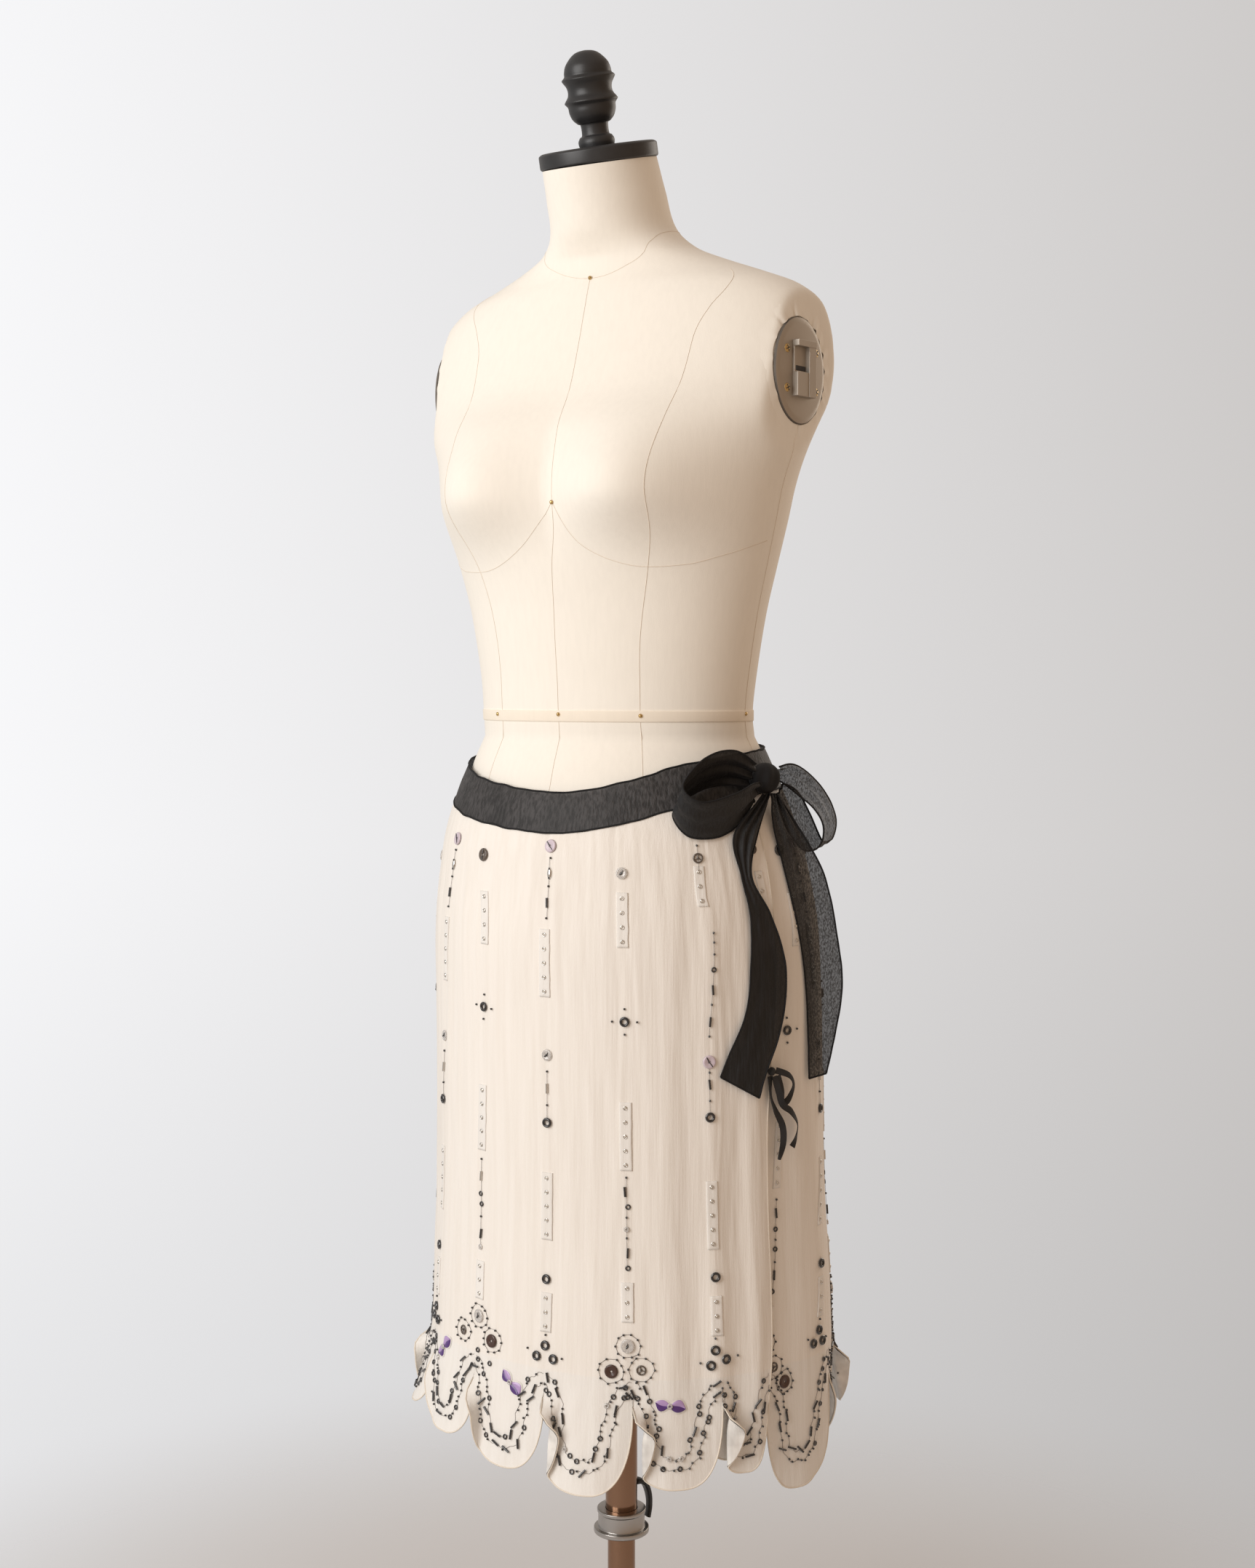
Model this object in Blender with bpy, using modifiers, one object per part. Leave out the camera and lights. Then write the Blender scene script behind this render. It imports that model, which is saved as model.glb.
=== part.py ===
"""Wrap skirt of crinkled silk with a tongued hem and a sash bow, worn on a limbless dress form.

Metres, +Z up. The form faces -Y and its left side is +X. The origin is on the floor, on the pole's axis.
Angles run round the pole's axis from +X, so the centre front is at -90 degrees.
"""
import math

import bmesh
import bpy
from mathutils import Matrix, Vector

# Cloth thicknesses and clearances
PANEL_WALL = 0.0011
LINING_WALL = 0.0010
FACING_WALL = 0.0010
BAND_WALL = 0.0026
RIBBON_WALL = 0.0012
SEAM_GAP = 0.0003
BAND_GAP = 0.0007

# Skirt sections, outer face of the cloth
SKIRT_SECTIONS = (
    # z, half width, half depth, centre y
    (1.000, 0.1340, 0.0975, -0.0060),
    (0.970, 0.1475, 0.1105, -0.0050),
    (0.940, 0.1600, 0.1240, -0.0040),
    (0.910, 0.1695, 0.1340, -0.0020),
    (0.880, 0.1755, 0.1405, 0.0010),
    (0.830, 0.1820, 0.1490, 0.0050),
    (0.770, 0.1845, 0.1525, 0.0090),
    (0.600, 0.1870, 0.1560, 0.0130),
    (0.500, 0.1920, 0.1605, 0.0150),
    (0.420, 0.1940, 0.1640, 0.0150),
    (0.330, 0.1945, 0.1650, 0.0150),
)
WAIST_SEAM = (
    # angle, z of the seam between the sash band and the panels
    (-180.0, 0.949),
    (-150.0, 0.9405),
    (-126.0, 0.9300),
    (-100.0, 0.9220),
    (-82.0, 0.9205),
    (-61.0, 0.9310),
    (-45.0, 0.9425),
    (-10.0, 0.9530),
    (60.0, 0.9590),
    (120.0, 0.9570),
    (180.0, 0.949),
)
BAND_HEIGHT = 0.034
BAND_COLUMNS = 60
BAND_ROWS = 3
FOLDS = (
    # angle, half angle, depth, top z, bottom z: ridges out, troughs in
    (-170.0, 7.0, 0.0030, 0.86, 0.40),
    (-151.0, 6.0, -0.0025, 0.82, 0.42),
    (-128.0, 7.0, 0.0020, 0.80, 0.40),
    (-74.0, 8.0, 0.0015, 0.62, 0.38),
    (-53.0, 4.0, 0.0025, 0.84, 0.44),
    (-46.0, 3.2, -0.0035, 0.88, 0.42),
    (-39.0, 3.6, 0.0030, 0.90, 0.42),
    (-33.0, 3.0, -0.0030, 0.88, 0.44),
    (-27.0, 3.6, 0.0035, 0.86, 0.42),
    (3.0, 6.0, 0.0025, 0.84, 0.42),
    (22.0, 6.0, -0.0030, 0.86, 0.42),
    (40.0, 7.0, 0.0030, 0.86, 0.40),
    (62.0, 6.0, -0.0030, 0.84, 0.42),
    (84.0, 8.0, 0.0035, 0.80, 0.40),
    (108.0, 6.0, -0.0030, 0.86, 0.42),
    (130.0, 7.0, 0.0035, 0.84, 0.40),
    (152.0, 6.0, -0.0025, 0.86, 0.42),
)
FREE_EDGE = (
    # z, angle of the front panel's free edge
    (0.360, -25.5),
    (0.420, -24.5),
    (0.480, -22.3),
    (0.660, -21.8),
    (0.720, -20.0),
    (0.800, -16.8),
    (0.870, -15.7),
    (0.960, -16.0),
)

# Tongues of the hem, between the notches
NOTCH_Z = 0.437
FLARE_START = 0.030
TONGUE_POWER = 2.5
FRONT_TONGUES = (
    # start angle, end angle, drop, flare, lean in degrees, curl of the start margin
    (-182.5, -158.5, 0.064, 0.014, 0.0, 0.004),
    (-158.5, -134.5, 0.054, 0.018, -1.0, 0.006),
    (-134.5, -110.5, 0.056, 0.010, 1.0, 0.000),
    (-110.5, -86.5, 0.066, 0.008, 1.0, 0.006),
    (-86.5, -62.5, 0.074, 0.014, 0.5, 0.008),
    (-62.5, -38.5, 0.068, 0.008, 0.5, 0.008),
    (-38.5, None, 0.059, 0.006, 0.0, 0.003),
)
BACK_TONGUES = (
    # start angle, end angle, drop, flare, lean in degrees, curl of the start margin
    (-45.0, -24.0, 0.050, 0.000, 0.0, 0.000),
    (-24.0, 6.0, 0.086, 0.003, -3.0, 0.000),
    (6.0, 31.36, 0.066, -0.011, 0.0, 0.000),
    (31.36, 55.71, 0.062, 0.014, 1.0, 0.005),
    (55.71, 80.07, 0.066, 0.010, -1.0, 0.003),
    (80.07, 104.43, 0.062, 0.015, 0.5, 0.006),
    (104.43, 128.79, 0.066, 0.010, 1.0, 0.003),
    (128.79, 153.14, 0.062, 0.016, -0.5, 0.006),
    (153.14, 177.5, 0.066, 0.011, 0.0, 0.004),
)
COLUMN_STEPS = (0.0, 0.04, 0.13, 0.32, 0.50, 0.68, 0.87, 0.96)
BODY_ROWS = (0.0, 0.08, 0.19, 0.36, 0.60, 0.82, 1.0)
HEM_ROWS = (0.35, 0.68, 1.0)
HEM_START_Z = 0.472
UNDERLAP_TOP = 0.0017
UNDERLAP_LOW = 0.0045
UNDERLAP_TUCK = 0.8
UNDERLAP_START = -4.0
UNDERLAP_FULL = -16.0
FACING_WIDTH = 0.018
FACING_ROWS = (0.0, 0.33, 0.66, 1.0)
FACING_DEPTH = PANEL_WALL + 0.0017
PROBE_U = 0.04
PROBE_Z = 0.002
LINING_DEPTH = PANEL_WALL + 0.0006
LINING_DROP = 0.0030
LINING_SLACK = 0.0045
LINING_HEM_Z = 0.462
LINING_COLUMNS = 48
LINING_ROWS = (0.0, 0.08, 0.19, 0.36, 1.0)

# Sash bow and the narrow side tie
KNOT_ANGLE = -10.0
KNOT_Z = 0.966
KNOT_RADII = (0.0150, 0.0115, 0.0135)
KNOT_OUT = 0.0134
BOW_STEPS = 22
FRONT_LOOP = (
    # angle, z, out, width, width direction along, out and up
    (-16.3, 0.9690, 0.0145, 0.018, 0.10, 0.45, 0.90),
    (-27.0, 0.9770, 0.0160, 0.028, 0.15, 0.55, 0.80),
    (-39.0, 0.9700, 0.0210, 0.034, 0.15, 0.62, 0.75),
    (-46.0, 0.9520, 0.0225, 0.034, 0.15, 0.75, 0.62),
    (-42.0, 0.9350, 0.0190, 0.034, 0.15, 0.65, 0.70),
    (-31.0, 0.9340, 0.0150, 0.030, 0.10, 0.55, 0.80),
    (-22.0, 0.9450, 0.0130, 0.022, 0.10, 0.45, 0.85),
    (-16.5, 0.9540, 0.0120, 0.014, 0.10, 0.40, 0.90),
)
BACK_LOOP = (
    # angle, z, out, width, width direction along, out and up
    (-2.9, 0.9695, 0.0150, 0.013, 0.10, 0.50, 0.80),
    (4.0, 0.9680, 0.0215, 0.024, 0.70, 0.35, 0.55),
    (12.0, 0.9500, 0.0310, 0.034, 0.90, 0.25, 0.20),
    (16.0, 0.9280, 0.0330, 0.036, 0.95, 0.20, 0.10),
    (14.0, 0.9090, 0.0240, 0.034, 0.95, 0.15, 0.10),
    (9.0, 0.9060, 0.0140, 0.032, 0.95, 0.12, 0.15),
    (5.0, 0.9240, 0.0115, 0.026, 0.85, 0.15, 0.40),
    (2.0, 0.9430, 0.0115, 0.018, 0.60, 0.25, 0.60),
    (-1.6, 0.9560, 0.0120, 0.012, 0.10, 0.45, 0.80),
)
FRONT_END = (
    # angle, z, out, width, width direction along, out and up
    (-12.0, 0.9530, 0.0132, 0.009, 0.95, 0.15, 0.10),
    (-22.5, 0.9200, 0.0050, 0.018, 0.98, 0.10, 0.00),
    (-27.5, 0.8850, 0.0030, 0.018, 0.98, 0.08, 0.00),
    (-23.5, 0.8520, 0.0032, 0.025, 0.98, 0.08, -0.05),
    (-20.7, 0.8120, 0.0032, 0.031, 0.98, 0.10, -0.05),
    (-22.5, 0.7690, 0.0031, 0.032, 0.98, 0.10, 0.15),
    (-28.0, 0.7280, 0.0036, 0.033, 0.94, 0.10, -0.35),
    (-30.6, 0.7065, 0.0042, 0.034, 0.93, 0.10, -0.38),
)
BACK_END = (
    # angle, z, out, width, width direction along, out and up
    (-7.8, 0.9530, 0.0132, 0.008, 0.85, 0.30, 0.00),
    (-6.4, 0.9240, 0.0085, 0.020, 0.80, 0.50, 0.00),
    (-5.0, 0.8800, 0.0092, 0.034, 0.80, 0.58, 0.00),
    (-2.5, 0.8300, 0.0096, 0.037, 0.80, 0.60, 0.00),
    (-0.5, 0.7850, 0.0099, 0.037, 0.80, 0.60, 0.00),
    (-0.5, 0.7450, 0.0096, 0.035, 0.80, 0.60, 0.05),
    (-1.5, 0.7120, 0.0080, 0.026, 0.80, 0.60, 0.20),
)
TIE_DIAMETER = 0.0024
SIDE_KNOT = (-20.6, 0.7170, 0.0032)
SIDE_KNOT_RADIUS = 0.0034
SIDE_LOOP = (
    # angle, z, out
    (-19.2, 0.7175, 0.0042),
    (-14.5, 0.7120, 0.0065),
    (-12.5, 0.7030, 0.0060),
    (-14.0, 0.6920, 0.0045),
    (-16.2, 0.6890, 0.0042),
    (-17.0, 0.6990, 0.0050),
    (-18.9, 0.7130, 0.0052),
)
SIDE_END_A = (
    # angle, z, out
    (-21.3, 0.7130, 0.0034),
    (-21.2, 0.6960, 0.0036),
    (-19.6, 0.6830, 0.0042),
    (-17.2, 0.6690, 0.0052),
    (-16.8, 0.6540, 0.0046),
    (-18.4, 0.6400, 0.0040),
)
SIDE_END_B = (
    # angle, z, out
    (-20.1, 0.7130, 0.0052),
    (-19.2, 0.6990, 0.0078),
    (-17.9, 0.6880, 0.0082),
    (-13.6, 0.6800, 0.0060),
    (-10.4, 0.6680, 0.0050),
    (-11.2, 0.6560, 0.0045),
    (-12.8, 0.6490, 0.0042),
)

# Dress form
TORSO_SECTIONS = (
    # z, half width, half depth, centre y, tilt of the ring
    (1.5040, 0.0500, 0.0510, -0.0370, 1.00),
    (1.4780, 0.0520, 0.0540, -0.0260, 0.75),
    (1.4480, 0.0560, 0.0580, -0.0130, 0.45),
    (1.4310, 0.0740, 0.0610, -0.0010, 0.20),
    (1.4180, 0.1040, 0.0650, 0.0080, 0.00),
    (1.4050, 0.1390, 0.0710, 0.0120, 0.00),
    (1.3920, 0.1700, 0.0770, 0.0120, 0.00),
    (1.3720, 0.1930, 0.0840, 0.0130, 0.00),
    (1.3350, 0.2060, 0.0920, 0.0110, 0.00),
    (1.3000, 0.2030, 0.0990, 0.0060, 0.00),
    (1.2700, 0.1900, 0.1070, -0.0030, 0.00),
    (1.2450, 0.1780, 0.1110, -0.0050, 0.00),
    (1.2200, 0.1690, 0.1130, -0.0060, 0.00),
    (1.1900, 0.1620, 0.1120, -0.0070, 0.00),
    (1.1500, 0.1520, 0.1080, -0.0080, 0.00),
    (1.1080, 0.1420, 0.1010, -0.0080, 0.00),
    (1.0540, 0.1330, 0.0955, -0.0080, 0.00),
    (1.0200, 0.1300, 0.0930, -0.0090, 0.00),
    (1.0000, 0.1304, 0.0938, -0.0062, 0.00),
)
SHOULDER_CLIP = 0.180
NECK_TILT = math.radians(15.0)
BUST_X = 0.080
BUST_Z = 1.210
BUST_DEPTH = 0.039
BUST_WIDTH = 0.062
BUST_RISE = 0.062
BUST_FALL = 0.040
TORSO_COLUMNS = 40
HIP_CLEARANCE = (
    # z, how far the form stays inside the skirt's outer face
    (1.000, 0.0035),
    (0.975, 0.0035),
    (0.955, 0.0056),
    (0.930, 0.0076),
    (0.900, 0.0100),
    (0.850, 0.0150),
    (0.780, 0.0190),
    (0.730, 0.0260),
    (0.705, 0.0400),
    (0.700, 0.0600),
)
HIP_RINGS = (0.985, 0.970, 0.957, 0.944, 0.930, 0.915, 0.895, 0.865, 0.820, 0.775, 0.735, 0.708, 0.700)
CAP_RADIUS = 0.0525
CAP_THICKNESS = 0.014
CAP_BEVEL = 0.0015
FINIAL_PROFILE = (
    # height, radius, from the top down
    (0.0810, 0.0000),
    (0.0798, 0.0075),
    (0.0765, 0.0130),
    (0.0700, 0.0186),
    (0.0640, 0.0206),
    (0.0608, 0.0209),
    (0.0588, 0.0228),
    (0.0576, 0.0235),
    (0.0556, 0.0224),
    (0.0520, 0.0202),
    (0.0480, 0.0194),
    (0.0440, 0.0201),
    (0.0404, 0.0226),
    (0.0386, 0.0235),
    (0.0368, 0.0221),
    (0.0348, 0.0209),
    (0.0300, 0.0204),
    (0.0245, 0.0182),
    (0.0205, 0.0142),
    (0.0193, 0.0122),
    (0.0108, 0.0121),
    (0.0090, 0.0142),
    (0.0050, 0.0161),
    (0.0000, 0.0152),
)
PLATE_Z = 1.3135
PLATE_Y = -0.007
PLATE_TURN = math.radians(10.0)
PLATE_SIZE = (0.0038, 0.070, 0.091)

# Stand
POLE_RADIUS = 0.0127
SLEEVE_RADIUS = 0.0147
SLEEVE_BORE = 0.0133
SLEEVE_BOTTOM_Z = 0.2710
POLE_TOP_Z = 0.580
COLLAR_TOP_Z = 0.2860
COLLAR_BOTTOM_Z = 0.2640
COLLAR_RADIUS = 0.0215
COLLAR_FLANGE_RADIUS = 0.0255
COLLAR_FLANGE = 0.0045
LEVER_ANGLE = 62.0
LEVER_WIDTH = 0.0110
LEVER_THICKNESS = 0.0055
LEVER_RUN = (
    # distance from the pole's axis, z
    (0.0151, 0.3075),
    (0.0200, 0.3068),
    (0.0255, 0.3025),
    (0.0292, 0.2930),
    (0.0302, 0.2820),
    (0.0285, 0.2710),
)
BASE_RADIUS = 0.190
BASE_EDGE = 0.010
BASE_CROWN = 0.018
HUB_RADIUS = 0.030
HUB_TOP_Z = 0.048
ROUND_STEPS = 28


def clear_scene():
    for item in list(bpy.data.objects):
        bpy.data.objects.remove(item, do_unlink=True)


def new_collection(name):
    collection = bpy.data.collections.new(name)
    bpy.context.scene.collection.children.link(collection)
    return collection


def material(name, colour, roughness, metallic=0.0):
    result = bpy.data.materials.new(name)
    result.use_nodes = True
    shader = result.node_tree.nodes["Principled BSDF"]
    shader.inputs["Base Color"].default_value = (*colour, 1.0)
    shader.inputs["Roughness"].default_value = roughness
    shader.inputs["Metallic"].default_value = metallic
    return result


def smooth_step(value):
    value = min(1.0, max(0.0, value))
    return value * value * (3.0 - 2.0 * value)


def read_table(table, key):
    """Smooth value of each column after the first, where the first column is key."""
    rows = sorted(table)
    keys = [row[0] for row in rows]
    if key <= keys[0]:
        return rows[0][1:]
    if key >= keys[-1]:
        return rows[-1][1:]
    index = max(i for i in range(len(keys) - 1) if keys[i] <= key)
    span = keys[index + 1] - keys[index]
    t = (key - keys[index]) / span
    values = []
    for column in range(1, len(rows[0])):
        slopes = []
        for i in (index, index + 1):
            low = max(0, i - 1)
            high = min(len(rows) - 1, i + 1)
            slopes.append((rows[high][column] - rows[low][column]) / (keys[high] - keys[low]) * span)
        a = rows[index][column]
        b = rows[index + 1][column]
        values.append(
            a * (1 + 2 * t) * (1 - t) ** 2 + slopes[0] * t * (1 - t) ** 2
            + b * t * t * (3 - 2 * t) + slopes[1] * t * t * (t - 1)
        )
    return tuple(values)


def spline_rows(rows, count):
    """Catmull-Rom through rows of numbers, count samples from the first row to the last."""
    result = []
    last = len(rows) - 1
    for step in range(count):
        place = step / (count - 1) * last
        index = min(int(place), last - 1)
        t = place - index
        p0 = rows[max(0, index - 1)]
        p1 = rows[index]
        p2 = rows[index + 1]
        p3 = rows[min(last, index + 2)]
        result.append(tuple(
            0.5 * (2 * b + (c - a) * t + (2 * a - 5 * b + 4 * c - d) * t * t + (3 * b - a - 3 * c + d) * t ** 3)
            for a, b, c, d in zip(p0, p1, p2, p3)
        ))
    return result


def fold_depth(angle, z):
    depth = 0.0
    for centre, half, size, top, bottom in FOLDS:
        turn = (angle - centre + 180.0) % 360.0 - 180.0
        if abs(turn) < 2.5 * half:
            fade = smooth_step((top - z) / 0.12) * (0.55 + 0.45 * smooth_step((top - z) / (top - bottom)))
            depth += size * fade * math.exp(-(turn / half) ** 2)
    return depth


def frame_at(angle, z):
    """Point on the skirt's smooth outer section, with the directions along it and out of it."""
    half_width, half_depth, centre_y = read_table(SKIRT_SECTIONS, z)
    turn = math.radians(angle)
    point = Vector((half_width * math.cos(turn), centre_y + half_depth * math.sin(turn), z))
    out = Vector((math.cos(turn) / half_width, math.sin(turn) / half_depth, 0.0)).normalized()
    along = Vector((-out.y, out.x, 0.0))
    return point, along, out


def cloth_point(angle, z, out_by=0.0, folds=True):
    point, _, out = frame_at(angle, z)
    depth = fold_depth(angle, z) if folds else 0.0
    return point + out * (out_by + depth)


def grid_mesh(name, rows, closed=False, capped=False):
    """Surface through rows of points, from the top down, each row running anticlockwise."""
    mesh = bpy.data.meshes.new(name)
    columns = len(rows[0])
    points = [tuple(point) for row in rows for point in row]
    faces = []
    for r in range(len(rows) - 1):
        for c in range(columns if closed else columns - 1):
            nxt = (c + 1) % columns
            faces.append((r * columns + c, (r + 1) * columns + c, (r + 1) * columns + nxt, r * columns + nxt))
    if capped:
        last = (len(rows) - 1) * columns
        faces.append(tuple(range(columns)))
        faces.append(tuple(range(last + columns - 1, last - 1, -1)))
    mesh.from_pydata(points, [], faces)
    mesh.shade_smooth()
    return mesh


def add_object(name, mesh, finish, collection):
    item = bpy.data.objects.new(name, mesh)
    item.data.materials.append(finish)
    collection.objects.link(item)
    return item


def cloth_object(name, rows, thickness, finish, collection, closed=False, offset=-1.0):
    item = add_object(name, grid_mesh(name, rows, closed), finish, collection)
    wall = item.modifiers.new("wall", "SOLIDIFY")
    wall.thickness = thickness
    wall.offset = offset
    return item


def tongue_angle(start, end, u, z):
    if end is None:
        end = read_table(FREE_EDGE, z)[0]
    return start + (end - start) * u


def tongue_drop(u):
    """Share of a tongue's full drop at u, its place between two notches."""
    side = min(1.0, abs(2.0 * u - 1.0))
    return (1.0 - side ** TONGUE_POWER) ** (1.0 / TONGUE_POWER)


def tongue_out(row, u, z):
    _, _, drop, flare, lean, curl = row
    down = min(1.0, max(0.0, (NOTCH_Z + FLARE_START - z) / (drop + FLARE_START)))
    out = flare * down ** 1.6 * (0.35 + 0.65 * math.sin(math.pi * u))
    margin = max(0.0, 1.0 - u / 0.2)
    return out + curl * margin ** 1.5 * max(0.0, (NOTCH_Z - z) / drop)


def panel_columns(tongues, first_trim, last_trim):
    """Tongue row and place u of each column of a panel; the trims part it from its neighbour."""
    columns = []
    for row in tongues:
        for u in COLUMN_STEPS:
            columns.append((row, u))
    columns.append((tongues[-1], 1.0))
    columns[0] = (columns[0][0], first_trim)
    columns[-1] = (columns[-1][0], 1.0 - last_trim)
    return columns


def underlap_depth(angle, z):
    """How far the back panel lies inside the front one where it passes behind it."""
    depth = UNDERLAP_TOP + (UNDERLAP_LOW - UNDERLAP_TOP) * smooth_step((0.93 - z) / 0.07)
    return depth * smooth_step((UNDERLAP_START - angle) / (UNDERLAP_START - UNDERLAP_FULL))


def panel_point(row, u, z, underlap):
    start, end, drop, _, lean, _ = row
    angle = tongue_angle(start, end, u, z)
    down = max(0.0, (NOTCH_Z - z) / drop)
    out = tongue_out(row, u, z)
    if underlap:
        out -= underlap_depth(angle, z)
    return cloth_point(angle + lean * down * math.sin(math.pi * u), z, out)


def panel_inside(row, u, z, underlap, depth):
    """Point of a panel moved in by depth, square to the cloth there."""
    point = panel_point(row, u, z, underlap)
    u_low = max(0.0, u - PROBE_U)
    u_high = min(1.0, u + PROBE_U)
    round_way = panel_point(row, u_high, z, underlap) - panel_point(row, u_low, z, underlap)
    down_way = panel_point(row, u, z - PROBE_Z, underlap) - panel_point(row, u, z + PROBE_Z, underlap)
    return point - down_way.cross(round_way).normalized() * depth


def hem_z(row, u):
    return NOTCH_Z - row[2] * tongue_drop(u)


def panel(name, tongues, trims, underlap, finish, collection):
    columns = panel_columns(tongues, *trims)
    tops = []
    for row, u in columns:
        angle = tongue_angle(row[0], row[1], u, 0.94)
        tuck = UNDERLAP_TUCK * underlap_depth(angle, 0.94) if underlap else 0.0
        tops.append(read_table(WAIST_SEAM, angle)[0] - BAND_GAP - tuck)
    heights = [[top + (HEM_START_Z - top) * share for top in tops] for share in BODY_ROWS]
    for share in HEM_ROWS:
        heights.append([HEM_START_Z + (hem_z(row, u) - HEM_START_Z) * share for row, u in columns])
    rows = []
    for row_heights in heights:
        rows.append([panel_point(row, u, z, underlap) for (row, u), z in zip(columns, row_heights)])
    return cloth_object(name, rows, PANEL_WALL, finish, collection)


def facing_top(row, u):
    """Upper edge of the hem facing: over the notches, down beside them, and round the tongue's foot."""
    inside = smooth_step((0.5 - abs(u - 0.5) - 0.14) / 0.16)
    high = NOTCH_Z + FACING_WIDTH
    low = hem_z(row, u) + FACING_WIDTH * 1.05
    return high + (low - high) * inside


def hem_facing(name, tongues, trims, underlap, finish, collection):
    columns = panel_columns(tongues, *trims)
    rows = []
    for share in FACING_ROWS:
        points = []
        for row, u in columns:
            bottom = hem_z(row, u) + SEAM_GAP
            top = facing_top(row, u)
            z = top + (bottom - top) * share
            points.append(panel_inside(row, u, z, underlap, FACING_DEPTH))
        rows.append(points)
    return cloth_object(name, rows, FACING_WALL, finish, collection)


def waistband(finish, collection):
    rows = []
    for r in range(BAND_ROWS):
        points = []
        for c in range(BAND_COLUMNS):
            angle = -180.0 + 360.0 * c / BAND_COLUMNS
            bottom = read_table(WAIST_SEAM, angle)[0]
            z = bottom + BAND_HEIGHT * (1.0 - r / (BAND_ROWS - 1))
            points.append(cloth_point(angle, z, 0.0002, folds=False))
        rows.append(points)
    return cloth_object("waistband", rows, BAND_WALL, finish, collection, closed=True)


def lining(finish, collection):
    rows = []
    for share in LINING_ROWS:
        points = []
        for c in range(LINING_COLUMNS):
            angle = -180.0 + 360.0 * c / LINING_COLUMNS
            top = read_table(WAIST_SEAM, angle)[0] - LINING_DROP
            z = top + (LINING_HEM_Z - top) * share
            beyond = smooth_step((angle + 60.0) / 15.0)
            depth = LINING_DEPTH + underlap_depth(angle, z) * beyond
            depth += LINING_SLACK * smooth_step((0.91 - z) / 0.12)
            points.append(cloth_point(angle, z, -depth, folds=False))
        rows.append(points)
    return cloth_object("lining", rows, LINING_WALL, finish, collection, closed=True)


def ribbon(name, stations, count, finish, collection):
    """Flat strip through stations, its wall centred on them."""
    edges = ([], [], [])
    for angle, z, out_by, width, w_along, w_out, w_up in spline_rows(stations, count):
        _, along, out = frame_at(angle, z)
        centre = cloth_point(angle, z, out_by)
        across = (along * w_along + out * w_out + Vector((0.0, 0.0, w_up))).normalized() * (width / 2.0)
        for side, points in zip((-1.0, 0.0, 1.0), edges):
            points.append(centre + across * side)
    return cloth_object(name, edges, RIBBON_WALL, finish, collection, offset=0.0)


def lump(name, angle, z, out_by, radii, finish, collection):
    """Small rounded knot, its radii along, out of and up the cloth."""
    _, along, out = frame_at(angle, z)
    turn = Matrix((out, along, Vector((0.0, 0.0, 1.0)))).transposed()
    mesh = bpy.data.meshes.new(name)
    shape = bmesh.new()
    bmesh.ops.create_uvsphere(shape, u_segments=14, v_segments=8, radius=1.0)
    for vert in shape.verts:
        scaled = Vector((vert.co.x * radii[1], vert.co.y * radii[0], vert.co.z * radii[2]))
        vert.co = cloth_point(angle, z, out_by) + turn @ scaled
    shape.to_mesh(mesh)
    shape.free()
    mesh.shade_smooth()
    return add_object(name, mesh, finish, collection)


def tie_tube(name, route, finish, collection):
    """Narrow tie as a tube along its route."""
    points = [cloth_point(*row) for row in spline_rows(route, int(2.4 * len(route)))]
    curve = bpy.data.curves.new(name, "CURVE")
    curve.dimensions = "3D"
    curve.bevel_depth = TIE_DIAMETER / 2.0
    curve.bevel_resolution = 2
    curve.use_fill_caps = True
    spline = curve.splines.new("POLY")
    spline.points.add(len(points) - 1)
    for target, point in zip(spline.points, points):
        target.co = (*point, 1.0)
    curve.materials.append(finish)
    item = bpy.data.objects.new(name, curve)
    collection.objects.link(item)
    return item


def bust_shape(x, z):
    rise = BUST_RISE if z > BUST_Z else BUST_FALL
    upright = math.exp(-((z - BUST_Z) / rise) ** 2)
    return BUST_DEPTH * upright * math.exp(-((abs(x) - BUST_X) / BUST_WIDTH) ** 2)


def torso_ring(z, half_width, half_depth, centre_y, tilt):
    points = []
    for c in range(TORSO_COLUMNS):
        turn = 2.0 * math.pi * c / TORSO_COLUMNS
        x = half_width * math.cos(turn)
        y = half_depth * math.sin(turn)
        if y < 0.0:
            y -= bust_shape(x, z) * smooth_step(-y / 0.03)
        reach = SHOULDER_CLIP + (centre_y + y - PLATE_Y) * math.tan(PLATE_TURN)
        x = max(-reach, min(reach, x))
        points.append(Vector((x, centre_y + y, z + y * math.tan(NECK_TILT) * tilt)))
    return points


def torso(finish, collection):
    rows = [torso_ring(*row) for row in TORSO_SECTIONS]
    for z in HIP_RINGS:
        half_width, half_depth, centre_y = read_table(SKIRT_SECTIONS, z)
        inset = read_table(HIP_CLEARANCE, z)[0]
        rows.append(torso_ring(z, half_width - inset, half_depth - inset, centre_y, 0.0))
    mesh = grid_mesh("torso", rows, closed=True, capped=True)
    mesh.set_sharp_from_angle(angle=math.radians(50))
    return add_object("torso", mesh, finish, collection)


def turned(name, profile, finish, collection, steps=ROUND_STEPS):
    """Profile of radius and height points at +X, from the top down its outer side, turned about Z."""
    mesh = bpy.data.meshes.new(name)
    points = [(radius, 0.0, height) for radius, height in profile]
    mesh.from_pydata(points, [(i, i + 1) for i in range(len(points) - 1)], [])
    item = add_object(name, mesh, finish, collection)
    screw = item.modifiers.new("turn", "SCREW")
    screw.steps = steps
    screw.render_steps = steps
    screw.use_merge_vertices = True
    screw.merge_threshold = 0.00001
    screw.use_smooth_shade = True
    return item


def cap_place():
    """Matrix of the neck cap's underside, tilted forward with the neck."""
    z, _, _, centre_y, _ = TORSO_SECTIONS[0]
    return Matrix.Translation((0.0, centre_y, z)) @ Matrix.Rotation(NECK_TILT, 4, "X")


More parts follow.
